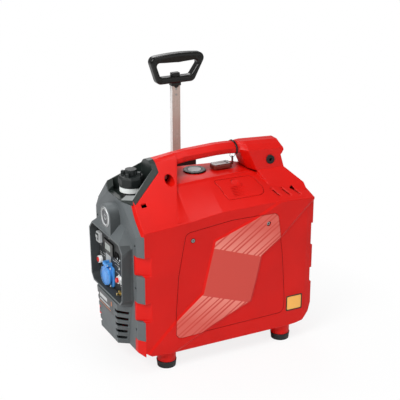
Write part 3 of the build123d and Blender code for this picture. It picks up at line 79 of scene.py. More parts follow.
class Shade:
    """A material's node tree, with short ways to add and join nodes."""

    def __init__(self, name):
        self.material = bpy.data.materials.new(name)
        self.material.use_nodes = True
        self.tree = self.material.node_tree
        self.tree.nodes.clear()
        self.place = self.add("TexCoord").outputs["Object"]

    def add(self, kind, inputs=None, **settings):
        """A new node, its settings set and its inputs joined or given values."""
        node = self.tree.nodes.new("ShaderNode" + kind)
        for key, value in settings.items():
            setattr(node, key, value)
        for key, value in (inputs or {}).items():
            if isinstance(value, bpy.types.NodeSocket):
                self.tree.links.new(value, node.inputs[key])
            else:
                node.inputs[key].default_value = value
        return node

    def noise(self, scale, detail=3.0, stretch=None):
        """Noise over the object's own coordinates, from 0 to 1."""
        place = self.place
        if stretch:
            place = self.add("Mapping", {"Vector": place, "Scale": stretch}).outputs[0]
        return self.add("TexNoise", {"Vector": place, "Scale": scale, "Detail": detail}).outputs[0]

    def ramp(self, value, low, high, to_low=0.0, to_high=1.0):
        """A value moved from one range to another, held at its ends."""
        limits = {"Value": value, 1: low, 2: high, 3: to_low, 4: to_high}
        return self.add("MapRange", limits).outputs[0]

    def math(self, operation, a, b=0.0):
        """One step of arithmetic on values."""
        return self.add("Math", {0: a, 1: b}, operation=operation).outputs[0]

    def product(self, value, *factors):
        """Values multiplied together."""
        for factor in factors:
            value = self.math("MULTIPLY", value, factor)
        return value

    def facing(self, axis):
        """The x, y or z of the surface's normal, for an axis of 0, 1 or 2."""
        normal = self.add("NewGeometry").outputs["Normal"]
        return self.add("SeparateXYZ", {0: normal}).outputs[axis]

    def likeness(self, a, b):
        """The dot product of two directions."""
        return self.add("VectorMath", {0: a, 1: b}, operation="DOT_PRODUCT").outputs["Value"]

    def along(self):
        """The object's own x, y and z, each as a value in metres."""
        return self.add("SeparateXYZ", {0: self.place}).outputs

    def within(self, value, low, high, soft=0.0004):
        """1 where a value lies between two limits, falling off over a soft edge."""
        rise = self.ramp(value, low - soft, low + soft)
        fall = self.ramp(value, high - soft, high + soft, 1.0, 0.0)
        return self.product(rise, fall)

    def mixed(self, share, a, b):
        """Colour a where the share is 0 and b where it is 1."""
        node = self.add("Mix", data_type="RGBA")
        for socket, value in ((node.inputs[0], share), (node.inputs[6], a), (node.inputs[7], b)):
            if isinstance(value, bpy.types.NodeSocket):
                self.tree.links.new(value, socket)
            else:
                socket.default_value = value
        return node.outputs[2]

    def edges(self, radius):
        """Rounded normals, and a mask that is 1 along the edges."""
        rounded = self.add("Bevel", {"Radius": radius}, samples=6).outputs[0]
        flat = self.add("NewGeometry").outputs["Normal"]
        return rounded, self.ramp(self.likeness(rounded, flat), 0.995, 0.85)

    def bump(self, height, strength, depth, normal):
        """Small relief laid over a normal."""
        inputs = {"Height": height, "Strength": strength, "Distance": depth, "Normal": normal}
        return self.add("Bump", inputs).outputs[0]

    def close(self, **inputs):
        """End the tree in one Principled shader."""
        names = {key.replace("_", " "): value for key, value in inputs.items()}
        shader = self.add("BsdfPrincipled", names)
        out = self.add("OutputMaterial", {"Surface": shader.outputs[0]})
        out.is_active_output = True
        return self.material


def moulded(name, colour, rough, grain=1400.0, bump=0.15, edge=1.2, light=1.3, vary=0.06, shine=0.3,
            coat=0.0, paint=None):
    """Moulded plastic: fine grain, uneven gloss, faint colour drift, and edges made lighter partly as wear
    and partly as a painted highlight.
    """
    shade = Shade(name)
    base = srgb(*colour)
    drift = shade.noise(9.0, 4.0)
    body = shade.mixed(shade.ramp(drift, 0.3, 0.7), scaled(base, 1 - vary), scaled(base, 1 + vary))
    rounded, mask = shade.edges(edge * MM)
    # lighter edges in patches: partly wear, partly a painted highlight along the rims; light sets how much
    # lighter
    worn_and_lit_edges = shade.product(mask, shade.ramp(shade.noise(60.0, 5.0), 0.35, 0.75, 0.2, 0.9))
    body = shade.mixed(worn_and_lit_edges, body, scaled(base, light))
    gloss = shade.ramp(shade.noise(38.0, 6.0), 0.3, 0.7, rough - 0.04, rough + 0.05)
    height = shade.noise(grain, 2.0)
    if paint:
        body, gloss, height = paint(shade, body, gloss, height)
    normal = shade.bump(height, bump, 0.15 * MM, rounded)
    settings = {"Base_Color": body, "Roughness": gloss, "Normal": normal, "IOR": 1.5}
    settings["Specular_IOR_Level"] = shine
    if coat:
        settings.update(Coat_Weight=coat, Coat_Roughness=0.12)
    return shade.close(**settings)


def metallic(name, colour, rough):
    """Bare metal with fine grain in its colour and relief, and uneven gloss."""
    shade = Shade(name)
    base, vary = srgb(*colour), 0.08
    grain = shade.noise(700.0)
    body = shade.mixed(shade.ramp(grain, 0.3, 0.7), scaled(base, 1 - vary), scaled(base, 1 + vary))
    gloss = shade.ramp(shade.noise(90.0, 5.0), 0.3, 0.7, rough - 0.05, rough + 0.08)
    rounded, _ = shade.edges(0.5 * MM)
    normal = shade.bump(grain, 0.12, 0.08 * MM, rounded)
    return shade.close(Base_Color=body, Roughness=gloss, Normal=normal, Metallic=1.0)


# Each function that follows changes one material by place. Places are in metres in the part's frame,
# and a pair of them is where a change starts and where it ends, or a zone's two limits.
def shell_paint(shade, body, gloss, height):
    """Coarse leather-like grain along the carry handle, and a grey front rim on the far side."""
    x, y, z = shade.along()
    rim_front, rim_near_end, rim_foot = (-0.2081, -0.2076), (0.05, 0.052), (0.305, 0.307)
    forward_of = shade.ramp(x, *rim_front, 1.0, 0.0)
    rim = shade.product(forward_of, shade.ramp(y, *rim_near_end), shade.ramp(z, *rim_foot))
    body = shade.mixed(rim, body, srgb(92, 97, 99))
    handle_length, handle_height = (-0.052, 0.082), (0.470, 0.4925)
    zone = shade.product(shade.within(x, *handle_length, 0.002), shade.within(z, *handle_height, 0.0008))
    coarse = shade.noise(420.0, 4.0)
    hollows = shade.product(zone, shade.ramp(coarse, 0.35, 0.65, 0.0, 0.35))
    body = shade.mixed(hollows, body, srgb(120, 14, 12))
    gloss = shade.math("ADD", gloss, shade.product(zone, 0.15))
    return body, gloss, shade.math("ADD", height, shade.product(zone, coarse, 9.0))


def cover_film(shade, body, gloss, height):
    """A pale film on the raised part of the cover: slanted bars above and below a plain field."""
    x, y, z = shade.along()
    raised = extent("side_cover")[0][1]
    film_face, field_middle = ((raised + 0.2) * MM, (raised + 0.5) * MM), 0.22
    field_top, field_foot = (0.284, 0.2848), (0.157, 0.1562)
    bar_pitch, wide_bar, thin_bar = 0.0263, (0.05, 0.55), (0.68, 0.88)
    film = shade.ramp(y, *film_face, 1.0, 0.0)
    slant = shade.math("ADD", shade.product(x, 0.56), shade.product(z, -0.83))
    level = shade.math("ADD", shade.product(x, 0.355), z)
    ends = shade.math("MAXIMUM", shade.ramp(level, *field_top), shade.ramp(level, *field_foot))
    turns = shade.math("FRACT", shade.math("DIVIDE", slant, bar_pitch))
    wide, thin = (shade.within(turns, *bar, 0.012) for bar in (wide_bar, thin_bar))
    bars = shade.product(shade.math("MAXIMUM", wide, thin), ends)
    away = shade.math("ABSOLUTE", shade.math("SUBTRACT", level, field_middle))
    fade = shade.ramp(away, 0.065, 0.14, 1.0, 0.28)
    body = shade.mixed(film, body, srgb(208, 76, 66))
    body = shade.mixed(shade.product(film, bars, fade), body, srgb(236, 140, 126))
    return body, shade.math("SUBTRACT", gloss, shade.product(film, 0.05)), height


def panel_painted_shade(shade, body, gloss, height):
    """Painted shade: darker, duller grey on the front panel's near faces and inside the console's recess.
    """
    x, y, z = shade.along()
    recess_width, recess_height, recess_depth = (-0.1018, 0.1018), (0.1712, 0.3218), (-0.2485, -0.226)
    # painted shade on the faces turned to the near side, picked by their normal
    shaded_near_faces = shade.ramp(shade.facing(1), -0.9, -0.55, 0.5, 0.0)
    opening = shade.product(shade.within(y, *recess_width), shade.within(z, *recess_height))
    # painted shade inside the console's recess
    console_recess_shade = shade.product(opening, shade.within(x, *recess_depth))
    share = shade.math("MAXIMUM", shaded_near_faces, shade.product(console_recess_shade, 0.66))
    # the painted shade's dark grey
    body = shade.mixed(share, body, srgb(26, 28, 28))
    return body, shade.math("ADD", gloss, shade.product(share, 0.1)), height


def collar_painted_sheen(shade, body, gloss, height):
    """A painted highlight: a paler sheen on the near end of the collar's sloping front band."""
    _, y, _ = shade.along()
    band_slope, near_end = (-0.579, 0.0, 0.815), (-0.034, -0.030)
    # picks faces by the way they turn, so the painted highlight lies only on the band's slope
    on_band = shade.likeness(shade.add("NewGeometry").outputs["Normal"], band_slope)
    share = shade.product(shade.ramp(on_band, 0.985, 0.997), shade.ramp(y, *near_end, 0.85, 0.0))
    # the painted highlight's pale grey
    return shade.mixed(share, body, srgb(150, 154, 153)), gloss, height


def pole_streaks_and_highlight(shade, body, gloss, height):
    """Streaks along the pole's length, and a painted highlight that makes the narrow sides paler."""
    # painted highlight on the narrow sides, picked by their normal
    lit_narrow_sides = shade.ramp(shade.math("ABSOLUTE", shade.facing(0)), 0.6, 0.9)
    body = shade.mixed(lit_narrow_sides, body, srgb(232, 231, 229))
    streaks = shade.noise(500.0, 3.0, (1.0, 1.0, 0.03))
    body = shade.mixed(shade.ramp(streaks, 0.3, 0.7, 0.0, 0.3), body, scaled(srgb(160, 146, 136), 0.85))
    return body, gloss, shade.math("ADD", height, shade.product(streaks, 2.0))


def wheel_paint(shade, body, gloss, height):
    """A black tyre round a grey hub."""
    _, y, z = shade.along()
    hub_middle, hub_rim = middle("front_wheel")[1:], (0.0295, 0.0305)
    offsets = [shade.math("SUBTRACT", value, hub * MM) for value, hub in zip((y, z), hub_middle)]
    across, up = (shade.math("POWER", offset, 2.0) for offset in offsets)
    hub = shade.ramp(shade.math("SQRT", shade.math("ADD", across, up)), *hub_rim, 1.0, 0.0)
    return shade.mixed(hub, body, srgb(84, 87, 90)), gloss, height


red = moulded("red_plastic", (208, 16, 7), 0.36, edge=2.6, light=1.35, shine=0.2, paint=shell_paint)
cover_red = moulded("cover_red", (208, 14, 6), 0.38, edge=1.8, light=1.2, shine=0.2, paint=cover_film)
grey = moulded("grey_plastic", (94, 99, 101), 0.5, edge=1.8, bump=0.3, light=1.8, paint=panel_painted_shade)
dark_grey = moulded("dark_grey_plastic", (40, 42, 43), 0.5, edge=1.2, bump=0.25, shine=0.3)
black = moulded("black_plastic", (30, 34, 34), 0.4, edge=1.8, light=1.9, shine=0.3)
collar_black = moulded("collar_black", (32, 39, 37), 0.32, edge=1.6, light=2.6, shine=0.35,
                       paint=collar_painted_sheen)
gloss_black = moulded("gloss_black", (13, 13, 12), 0.2, edge=2.4, bump=0.05, light=3.0, shine=0.32)
matte_black = moulded("matte_black", (30, 27, 24), 0.6, grain=1100.0, bump=0.35, edge=1.0, shine=0.15)
rubber = moulded("rubber", (38, 38, 38), 0.75, grain=900.0, bump=0.4, light=1.5)
tyre = moulded("tyre", (34, 34, 35), 0.7, grain=700.0, bump=0.4, light=1.4, paint=wheel_paint)
natural = moulded("tank_plastic", (60, 62, 62), 0.45)
white = moulded("white_plastic", (232, 236, 234), 0.4, light=1.03)
button_grey = moulded("button_grey", (66, 68, 72), 0.32)
signal_red = moulded("signal_red", (204, 30, 26), 0.3, coat=0.3)
socket_blue = moulded("socket_blue", (78, 156, 232), 0.28, coat=0.25, light=1.5, edge=1.6)
fob_brown = moulded("fob_brown", (104, 34, 24), 0.22, coat=0.5, light=1.6)
printed = moulded("printed_white", (196, 198, 198), 0.5, light=1.0)
seam_dark = moulded("seam_dark", (42, 7, 7), 0.8, light=1.0, shine=0.1)
pit_dark = moulded("pit_dark", (14, 12, 12), 0.85, light=1.0, shine=0.1)
amber = moulded("amber_label", (250, 186, 92), 0.45, light=1.02)
brown_edge = moulded("label_edge", (70, 34, 22), 0.45, light=1.1)
orange = moulded("label_orange", (226, 128, 62), 0.5, light=1.02)
label_dark = moulded("label_dark", (60, 62, 64), 0.32, light=1.1)
light_grey = moulded("light_grey_plastic", (168, 172, 172), 0.42, edge=1.0, vary=0.1, light=1.1)
silver_gloss = moulded("silver_gloss", (206, 208, 208), 0.22, edge=0.8, light=1.1, shine=0.7, coat=0.5)
chrome = metallic("chrome", (226, 228, 230), 0.12)
ring_silver = moulded("ring_silver", (240, 242, 242), 0.28, edge=0.8, light=1.02, shine=0.6)
silver_paint = moulded("silver_plastic", (196, 198, 198), 0.26, coat=0.3, light=1.15)
steel = metallic("steel", (150, 150, 148), 0.34)
brushed = moulded("brushed_aluminium", (182, 164, 153), 0.3, vary=0.04, edge=0.8, light=1.1, shine=0.5,
                  coat=0.2, paint=pole_streaks_and_highlight)
cast = metallic("cast_aluminium", (165, 166, 166), 0.5)
brass = metallic("brass", (196, 170, 104), 0.3)
copper = metallic("copper", (184, 110, 72), 0.35)
lcd_glass = moulded("lcd_glass", (140, 146, 142), 0.2, bump=0.02, coat=0.3)
clear = moulded("gauge_glass", (186, 194, 198), 0.12, bump=0.02, shine=0.6, coat=0.6, light=1.1)

finishes = {
    red: ["near_shell", "far_shell", "plug_lid"],
    cover_red: ["side_cover"],
    grey: ["front_panel"],
    dark_grey: ["console_plate", "rear_cover", "base_tray", "dc_socket"],
    collar_black: ["fuel_collar"],
    black: [
        "trolley_guide", "trolley_bracket", "air_filter", "vent_knob", "fuel_cap", "drain_tube",
        "rubber_feet",
    ],
    gloss_black: ["trolley_grip", "gauge_ring", "display_bezel", "key_strap", "battery", "grip_button"],
    rubber: ["handle_plug"],
    tyre: ["front_wheel", "rear_wheel"],
    natural: ["fuel_tank"],
    white: ["cap_gasket"],
    button_grey: ["start_button"],
    signal_red: ["dc_breaker", "ac_breaker", "oil_cap"],
    socket_blue: ["socket_lid", "socket_base"],
    fob_brown: ["remote_fob"],
    chrome: ["key_ring", "socket_hinge_pin"],
    ring_silver: ["start_ring", "breaker_collars"],
    silver_paint: ["rocker_bezel"],
    label_dark: ["rocker_switch"],
    steel: ["case_screws", "wheel_axles", "spark_plug", "crankshaft", "rotor", "muffler"],
    brushed: ["trolley_pole"],
    cast: ["crankcase", "cylinder", "piston", "carburettor", "inverter_module", "cooling_fan"],
    brass: ["ground_stud", "wing_nut"],
    copper: ["stator"],
    lcd_glass: ["display_window"],
    clear: ["gauge_lens", "indicator_lamps"],
}
for material, names in finishes.items():
    for name in names:
        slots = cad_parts[name].data.materials
        slots.clear()
        slots.append(material)


# ---------------------------------------------------------------- ways to build the added pieces
def join_scene(obj, material, body):
    """Put a new piece in the scene, riding on a body of the model."""
    scene.collection.objects.link(obj)
    obj.data.materials.append(material)
    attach(obj, body)
    return obj


def solid(name, mesh, material, body, soft=None):
    """A new piece from a closed bmesh, smooth over edges flatter than the soft angle in radians."""
    bmesh.ops.recalc_face_normals(mesh, faces=mesh.faces)
    if soft:
        for face in mesh.faces:
            face.smooth = True
        for edge in mesh.edges:
            edge.smooth = edge.calc_face_angle() < soft
    data = bpy.data.meshes.new(name)
    mesh.to_mesh(data)
    mesh.free()
    return join_scene(bpy.data.objects.new(name, data), material, body)


def plates(name, outlines, place, across, up, thick, material, body="case", round_edge=0.25):
    """Flat plates with rounded rims: outlines in mm across and up from a place, thickening outwards."""
    across, up = Vector(across).normalized(), Vector(up).normalized()
    out = across.cross(up)
    mesh = bmesh.new()
    for outline in outlines:
        spots = [Vector(place) + across * u + up * v for u, v in outline]
        low = [mesh.verts.new(spot * MM) for spot in spots]
        high = [mesh.verts.new((spot + out * thick) * MM) for spot in spots]
        mesh.faces.new(low[::-1])
        mesh.faces.new(high)
        for i, vert in enumerate(low):
            after = (i + 1) % len(low)
            mesh.faces.new((vert, low[after], high[after], high[i]))
    obj = solid(name, mesh, material, body)
    if round_edge:
        rim = obj.modifiers.new("rim", "BEVEL")
        rim.width, rim.segments, rim.limit_method = round_edge * MM, 2, "ANGLE"
    return obj


def rounded(points, radius, steps=5):
    """A closed outline with its corners turned into arcs."""
    points = [Vector(point) for point in points]
    outline = []
    for i, corner in enumerate(points):
        before = (points[i - 1] - corner).normalized()
        after = (points[(i + 1) % len(points)] - corner).normalized()
        half = before.angle(after) / 2
        reach = radius / math.tan(half)
        middle = corner + (before + after).normalized() * (radius / math.sin(half))
        start, end = corner + before * reach - middle, corner + after * reach - middle
        turn_by = math.atan2(start.x * end.y - start.y * end.x, start.dot(end))
        first = math.atan2(start.y, start.x)
        for step in range(steps + 1):
            angle = first + turn_by * step / steps
            outline.append((middle.x + radius * math.cos(angle), middle.y + radius * math.sin(angle)))
    return outline


def box_outline(u, v, width, height, radius=0.0):
    """A rectangle about a middle, with rounded corners if a radius is given."""
    a, b = width / 2, height / 2
    corners = [(u - a, v - b), (u + a, v - b), (u + a, v + b), (u - a, v + b)]
    return rounded(corners, radius) if radius else corners


def arc_outline(u, v, inner, outer, start, end):
    """A ring segment between two angles in degrees."""
    steps = 16
    angles = [math.radians(start + (end - start) * i / steps) for i in range(steps + 1)]
    rim = [(u + outer * math.cos(angle), v + outer * math.sin(angle)) for angle in angles]
    return rim + [(u + inner * math.cos(angle), v + inner * math.sin(angle)) for angle in angles[::-1]]


def disc_outline(u, v, radius, count=28):
    """A disc as a many-sided outline."""
    turns = [2 * math.pi * i / count for i in range(count)]
    return [(u + radius * math.cos(angle), v + radius * math.sin(angle)) for angle in turns]


def turned(name, profile, place, axis, material, body="case", count=64):
    """A closed ring turned about an axis: the profile lists radius and height, in mm."""
    axis = Vector(axis).normalized()
    side = axis.orthogonal().normalized()
    other = axis.cross(side)
    mesh = bmesh.new()
    rings = []
    for i in range(count):
        angle = 2 * math.pi * i / count
        out = side * math.cos(angle) + other * math.sin(angle)
        spots = [Vector(place) + out * radius + axis * height for radius, height in profile]
        rings.append([mesh.verts.new(spot * MM) for spot in spots])
    for i in range(count):
        near, far = rings[i], rings[(i + 1) % count]
        for j in range(len(profile)):
            k = (j + 1) % len(profile)
            mesh.faces.new((near[j], near[k], far[k], far[j]))
    return solid(name, mesh, material, body)


def strand(name, points, radius, material):
    """A thin round strand in a closed loop along points, in mm, riding on the case."""
    data = bpy.data.curves.new(name, "CURVE")
    data.dimensions = "3D"
    data.bevel_depth = radius * MM
    data.bevel_resolution = 2
    spline = data.splines.new("POLY")
    spline.points.add(len(points) - 1)
    for spot, point in zip(spline.points, points):
        spot.co = (*(value * MM for value in point), 1.0)
    spline.use_cyclic_u = True
    return join_scene(bpy.data.objects.new(name, data), material, "case")


# ---------------------------------------------------------------- side of the case
forward, rearward = (-1, 0, 0), (1, 0, 0)
nearward, farward, upward = (0, -1, 0), (0, 1, 0), (0, 0, 1)
(panel_front, _, _), (panel_rear, half_width, _) = extent("front_panel")
shell_rear = extent("near_shell")[1][0]
side_face = -half_width
cover_outline = rounded([
    (-131, 77), (-129, 140), (-122, 240), (-102, 345), (20, 357),
    (146, 355), (162, 240), (171, 120), (169, 83), (-38, 80),
], 16, 8)
strand("cover_seam", [(x, side_face + 0.35, z) for x, z in cover_outline], 0.5, seam_dark)

# the shell's sections: place along X, half width at the knee, height of the knee and of the shoulder
sections = (
    (panel_rear, 75, 420, 363), (-88, 66, 435, 371), (-5, 58, 435, 382), (112, 45, 433, 383),
    (shell_rear, 75, 397, 378),
)


def section(x):
    """The shell's half width at the knee, knee height and shoulder height at a place along X."""
    front, rear = next(pair for pair in zip(sections, sections[1:]) if x < pair[1][0])
    share = (x - front[0]) / (rear[0] - front[0])
    return [low + (high - low) * share for low, high in zip(front[1:], rear[1:])]


def roof(x, y):
    """Height of the roof's near slope."""
    knee_half, knee, shoulder = section(x)
    return knee + (shoulder - knee) * (-y - knee_half) / (half_width - knee_half)


lid_outline = rounded([
    (9, -59), (19, -78), (21, -97), (26, -113), (114, -112),
    (127, -104), (131, -88), (123, -60), (115, -53),
], 6, 4)
strand("lid_seam", [(x, y, roof(x, y) - 0.75) for x, y in lid_outline], 0.42, seam_dark)
arrow = [(-1.2, -5), (1.2, -5), (1.2, 1), (3.6, 1), (0, 5.5), (-3.6, 1), (-1.2, 1)]
lid_middle, slope_up = (78, -76, roof(78, -76) - 0.2), (0, 94.0, 50.5)
plates("lid_arrow", [arrow], lid_middle, rearward, slope_up, 0.7, red, "plug_lid")

sticker = (200, side_face, 103)
border, amber_field = [box_outline(0, 0, 47, 42, 4)], [box_outline(0, 0, 40, 35, 2.5)]
plates("label_border", border, sticker, rearward, upward, 0.3, brown_edge)
plates("label_amber", amber_field, sticker, rearward, upward, 0.45, amber)
# screws on the side cover: a dark ring is painted shade on each recess floor, and a dark cross is painted
# shade in each head's slot
for number, (x, z) in enumerate(((-84, 324), (120, 331))):
    shade_ring_profile = [(4.55, -0.2), (6.0, -0.2), (6.0, 0.1), (4.55, 0.1)]
    turned(f"screw_shade_ring_{number}", shade_ring_profile, (x, side_face, z), nearward, pit_dark)
    cross = [box_outline(0, 0, 5.0, 1.1), box_outline(0, 0, 1.1, 5.0)]
    plates(
        f"screw_slot_shade_{number}", cross, (x, side_face - 0.5, z), (1, 0, 0.3), (-0.3, 0, 1), 0.06,
        pit_dark, round_edge=0,
    )


def roof_half(x, z):
    """Half width of the roof's slope at a height, beside the front pillar."""
    knee_half, knee, shoulder = section(x)
    return knee_half + (knee - z) / (knee - shoulder) * (half_width - knee_half)


def pillar_half(x, z):
    """Half width of the pillar's slope at a height: one in for each one up from the shoulder."""
    (front, _, _, low), (rear, _, _, high) = sections[:2]
    return half_width - (z - low - (high - low) * (x - front) / (rear - front))


def pillar_blend(name, side):
    """A soft hollow between the pillar's rear edge and the roof's slope, widening downwards."""
    foot, height, foot_width, narrowing = 372, 58, 36, 31
    # the pillar's rear edge: x and half width at its top, then how far it runs forward and spreads
    edge_top, edge_half, edge_run, edge_spread = -68, 22, 56.5, 117.5
    overlap, depth = 2, 2.2
    rows, steps, count = [], 8, 13
    for i in range(count):
        rise = i / (count - 1)
        z = foot + height * rise
        x = -90.0
        for _ in range(12):  # settles on the pillar's rear edge at this height
            x = edge_top - (pillar_half(x, z) - edge_half) * edge_run / edge_spread
        width = foot_width - narrowing * rise ** 0.8
        outer, inner = [], []
        for j in range(steps + 1):
            s = j / steps
            along = x - overlap + (width + overlap) * s
            base, top = roof_half(along, z), pillar_half(along, z)
            ease = 1 - s * s * (3 - 2 * s)
            lift = (0.15 if i else -0.3) - 0.5 * abs(2 * s - 1) ** 6  # proud, with sunk edges
            outer.append((along, side * (base + (top - base) * ease + lift), z))
            inner.append((along, side * (base - depth), z))
        rows.append(outer + inner[::-1])
    mesh = bmesh.new()
    rings = [[mesh.verts.new(Vector(spot) * MM) for spot in row] for row in rows]
    for low, high in zip(rings, rings[1:]):
        for j in range(len(low)):
            k = (j + 1) % len(low)
            mesh.faces.new((low[j], low[k], high[k], high[j]))
    mesh.faces.new(rings[0][::-1])
    mesh.faces.new(rings[-1])
    return solid(name, mesh, red, "case", soft=0.5)


pillar_blend("pillar_blend_near", -1)
pillar_blend("pillar_blend_far", 1)

# ---------------------------------------------------------------- console and start button
# planes along X that the marks lie on: a node's front face, or sunk into it a little
desk, pit_floor, rocker_face, button_face, ring_face, lid_face = (
    extent(node)[0][0] + sunk for node, sunk in (
        ("console_plate", 0), ("case_screws", 0.05), ("rocker_switch", 0.2), ("start_button", 0.05),
        ("start_ring", 0.15), ("socket_lid", 0.05),
    )
)
flange_face = desk - 9.1


def marks(name, outlines, material, x=desk, thick=0.15):
    """Marks on the front, each outline in mm towards the near side and up."""
    return plates(name, outlines, (x, 0, 0), nearward, upward, thick, material, round_edge=0)


bars = [box_outline(-y, z, width, height) for y, z, width, height in (
    (84, 262, 14, 1.2), (84, 258, 9, 1.2), (-66, 292, 16, 1.4), (-66, 288, 20, 1.0), (-66, 284, 12, 1.0),
    (-70, 262, 14, 1.2), (-70, 257, 10, 1.2), (-66, 236, 12, 1.2), (-76, 214, 10, 1.2), (-62, 200, 14, 1.2),
    (60, 244, 14, 1.2), (60, 238, 10, 1.2), (28, 247, 18, 1.2), (-40, 196, 10, 1.2), (84, 214, 12, 1.2),
    (70, 196, 16, 1.4), (50, 196, 8, 1.2), (0, 247, 12, 1.2),
)]
marks("console_print", bars, printed)
lines = [box_outline(70, z, 22, 0.5) for z in (274, 246)]
marks("console_lines", lines, printed)

# the start button's power sign, and the brighter part of its ring
start_z = middle("start_button")[2]
sign = [arc_outline(0, start_z, 5.2, 7.4, 125, 415), box_outline(0, start_z + 6.5, 1.8, 8.0)]
marks("start_sign", sign, printed, x=button_face, thick=0.1)
bright_arc = [arc_outline(0, start_z, 19.8, 24.3, 62, 400)]
marks("start_ring_face", bright_arc, ring_silver, x=ring_face)

# a pale field, a dark hood and more print
field = [rounded([(-52, 224), (-20, 224), (-20, 250), (-52, 250)], 2)]
marks("meter_field", field, light_grey, x=desk - 0.02, thick=0.06)
hood = [rounded([(4, 258), (34, 258), (34, 270), (28, 276), (10, 276)], 2)]
marks("hood", hood, pit_dark, thick=1.2)
rows = [box_outline(u, v, width, 1.1) for u, v, width in (
    (16, 254, 14), (28, 254, 8), (12, 249, 10), (26, 249, 12), (14, 224, 8), (26, 224, 12), (34, 219, 8),
    (60, 214, 16), (64, 205, 8), (57, 229, 12), (-84, 240, 12), (-80, 235, 18), (-28, 295, 12),
    (-34, 253, 14),
)]
marks("console_rows", rows, printed)
rules = [
    [(40, 222), (66, 202), (66, 203.2), (40, 223.2)], [(-86, 200), (-56, 200), (-56, 201), (-86, 201)],
    [(8, 241), (36, 241), (36, 241.8), (8, 241.8)],
]
marks("console_rules", rules, printed)

# breakers: a segmented ring round the one, a long sleeve on the other
_, ring_y, ring_z = middle("ac_breaker")
ring = [arc_outline(-ring_y, ring_z, 9.8, 12.2, start, start + 62) for start in (10, 100, 190, 280)]
marks("breaker_ring", ring, ring_silver, thick=0.4)
sleeve = [(6.8, 0), (8.6, 0), (9.0, 0.6), (9.0, 8.0), (8.2, 8.6), (6.8, 8.6)]
sleeve_place = (desk, *middle("dc_breaker")[1:])
turned("breaker_sleeve", sleeve, sleeve_place, forward, ring_silver)

# socket: moulded rings on its lid and two screws in its flange
lid_y, lid_z = middle("socket_lid")[1], extent("socket_lid")[0][2] + 25
for number, radius in enumerate((22.5, 15.0)):
    ridge = [(radius - 0.9, 0), (radius + 0.9, 0), (radius + 0.5, 0.7), (radius - 0.5, 0.7)]
    place = (lid_face, lid_y, lid_z)
    turned(f"lid_ring_{number}", ridge, place, forward, socket_blue, "socket_lid")
dots = [disc_outline(20.5 - lid_y, lid_z + rise, 2.6) for rise in (24.5, -21.5)]
marks("flange_screws", dots, white, x=flange_face, thick=0.6)

# dark screw holes down both sides of the panel
pits = [disc_outline(-y, z, 3.4, 20) for y in (-113, 113) for z in (112, 219, 326)]
marks("panel_pits", pits, pit_dark, x=pit_floor, thick=0.1)

# a bright field on the rocker's upper half
_, rocker_y, rocker_z = middle("rocker_switch")
paddle = [box_outline(-rocker_y, rocker_z + 3, 13, 7, 1.2)]
marks("rocker_face", paddle, silver_gloss, x=rocker_face, thick=0.2)

# ---------------------------------------------------------------- chin label
chin, chin_up = (panel_front + 1.02, 9, 139), (-5.0, 0.0, 108.0)


def chin_label(name, outlines, thick, material):
    """One layer of the label on the panel's leaning chin."""
    return plates(name, outlines, chin, nearward, chin_up, thick, material, round_edge=0)


chin_label("chin_plate", [box_outline(0, 0, 90, 40, 3)], 0.12, label_dark)
bands = [box_outline(-6, -12.5, 70, 1.6), box_outline(36, 9, 4, 12)]
chin_label("chin_bands", bands, 0.16, orange)
blocks = [box_outline(-14, 7, 46, 10, 1.5), box_outline(-8, -5.5, 62, 3.5)]
chin_label("chin_blocks", blocks, 0.16, printed)

# ---------------------------------------------------------------- handle, remote and grip
# a dark ring in the handle's pocket: painted shade in its bore
pocket_shade_profile = [(8.6, 0), (11.4, 0), (11.4, 0.7), (8.6, 0.7)]
turned("pocket_shade_ring", pocket_shade_profile, (-104.5, -28.1, 451.4), nearward, pit_dark)
fob = (63, 0, 452.95)
fob_cover = [box_outline(0, 0, 44, 23, 5)]
plates("fob_plate", fob_cover, fob, rearward, farward, 0.35, silver_gloss, "remote")
fob_marks = [box_outline(-3, 0, 26, 1.3), box_outline(14, 5, 6, 6, 2), box_outline(14, -5, 6, 6, 2)]
fob_top = (63, 0, 453.25)
plates(
    "fob_marks", fob_marks, fob_top, rearward, farward, 0.15, pit_dark, "remote",
    round_edge=0,
)

(_, grip_face, grip_foot), (_, _, grip_top) = extent("trolley_grip")
(_, pole_face, _), (_, _, pole_head) = extent("trolley_pole")
insert = rounded([(-44, -19), (5, -22.4), (54, -19), (50, -10.5), (5, -7.5), (-40, -10.5)], 3)
plates(
    "grip_insert", [insert], (0, grip_face, grip_top), rearward, upward, 0.5, matte_black,
    "trolley", round_edge=0.2,
)
high_z, low_z = grip_top - 15, grip_foot + 17
for number, (x, z) in enumerate(((-51, high_z), (61, high_z), (-43, low_z), (38, low_z))):
    hollow = [(2.0, -0.4), (3.6, -0.4), (3.6, 0.35), (3.2, 0.5), (2.4, 0.5), (2.0, 0.1)]
    turned(
        f"grip_screw_{number}", hollow, (x, grip_face, z), nearward, matte_black, "trolley",
        count=28,
    )
clip = [(-7.5, 0.2), (7.5, 0.2), (2.2, -5.6), (-2.2, -5.6)]
plates(
    "grip_clip", [clip], (0, pole_face, grip_foot), rearward, upward, 0.8, gloss_black,
    "trolley", round_edge=0.2,
)
for number, z in enumerate((pole_head - 34, pole_head - 20)):
    dimple = [(0.6, 0), (2.6, 0), (2.6, 0.12), (0.6, 0.12)]
    turned(
        f"pole_dimple_{number}", dimple, (0, pole_face, z), nearward, steel, "trolley", count=24,
    )

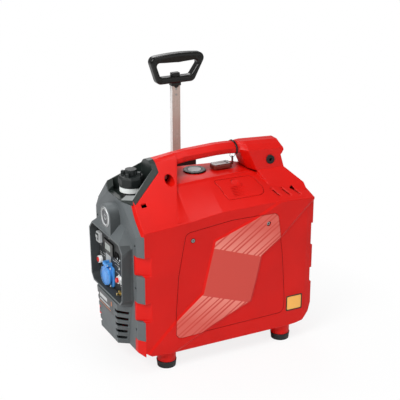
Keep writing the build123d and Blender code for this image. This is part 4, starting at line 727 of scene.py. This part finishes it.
# ---------------------------------------------------------------- stage and light
# the floor glows white to the camera, less so near the part where its shadow shows a little
span = 6.0
floor_mesh = bpy.data.meshes.new("floor")
corners = [(-span, -span, 0), (span, -span, 0), (span, span, 0), (-span, span, 0)]
floor_mesh.from_pydata(corners, [], [(0, 1, 2, 3)])
floor = bpy.data.objects.new("floor", floor_mesh)
scene.collection.objects.link(floor)
shade = Shade("floor")
seen = shade.add("LightPath").outputs["Is Camera Ray"]
distance = shade.add("VectorMath", {0: shade.place}, operation="LENGTH").outputs["Value"]
glow = shade.product(seen, shade.ramp(distance, 0.3, 0.62, 0.84, 1.0))
pale = shade.add("BsdfDiffuse", {"Color": (0.86, 0.86, 0.86, 1.0)})
lit = shade.add("Emission", {"Color": (1.0, 1.0, 1.0, 1.0), "Strength": 1.0})
both = shade.add("MixShader", {0: glow, 1: pale.outputs[0], 2: lit.outputs[0]})
shade.add("OutputMaterial", {"Surface": both.outputs[0]})
floor_mesh.materials.append(shade.material)

# the surroundings are white to the camera and through glass, and dimmer as light
world = bpy.data.worlds.new("studio")
scene.world = world
world.use_nodes = True
tree = world.node_tree
tree.nodes.clear()
path = tree.nodes.new("ShaderNodeLightPath")
open_ray = tree.nodes.new("ShaderNodeMath")
open_ray.operation = "MAXIMUM"
tree.links.new(path.outputs["Is Camera Ray"], open_ray.inputs[0])
tree.links.new(path.outputs["Is Transmission Ray"], open_ray.inputs[1])
kinds = ("Background", "Background", "MixShader")
ambient, backdrop, joined = (tree.nodes.new("ShaderNode" + kind) for kind in kinds)
ambient.inputs["Color"].default_value = (1.0, 1.0, 1.0, 1.0)
ambient.inputs["Strength"].default_value = 0.34
backdrop.inputs["Color"].default_value = (1.0, 1.0, 1.0, 1.0)
backdrop.inputs["Strength"].default_value = 1.0
tree.links.new(open_ray.outputs[0], joined.inputs[0])
tree.links.new(ambient.outputs[0], joined.inputs[1])
tree.links.new(backdrop.outputs[0], joined.inputs[2])
tree.links.new(joined.outputs[0], tree.nodes.new("ShaderNodeOutputWorld").inputs["Surface"])


def lamp(name, place, size, power):
    """A square soft light aimed at the middle of the object."""
    data = bpy.data.lights.new(name, "AREA")
    data.shape = "SQUARE"
    data.size = size
    data.energy = power
    light = bpy.data.objects.new(name, data)
    light.location = place
    aim = Vector((0.0, 0.0, 0.3)) - Vector(place)
    light.rotation_euler = aim.to_track_quat("-Z", "Y").to_euler()
    scene.collection.objects.link(light)


lamp("key", (-2.1, -1.1, 2.3), 1.4, 72.0)
lamp("side", (1.4, -2.8, 1.0), 1.8, 9.0)
lamp("top", (0.3, -0.5, 3.2), 1.2, 24.0)
lamp("back", (0.6, 2.4, 2.2), 1.6, 22.0)
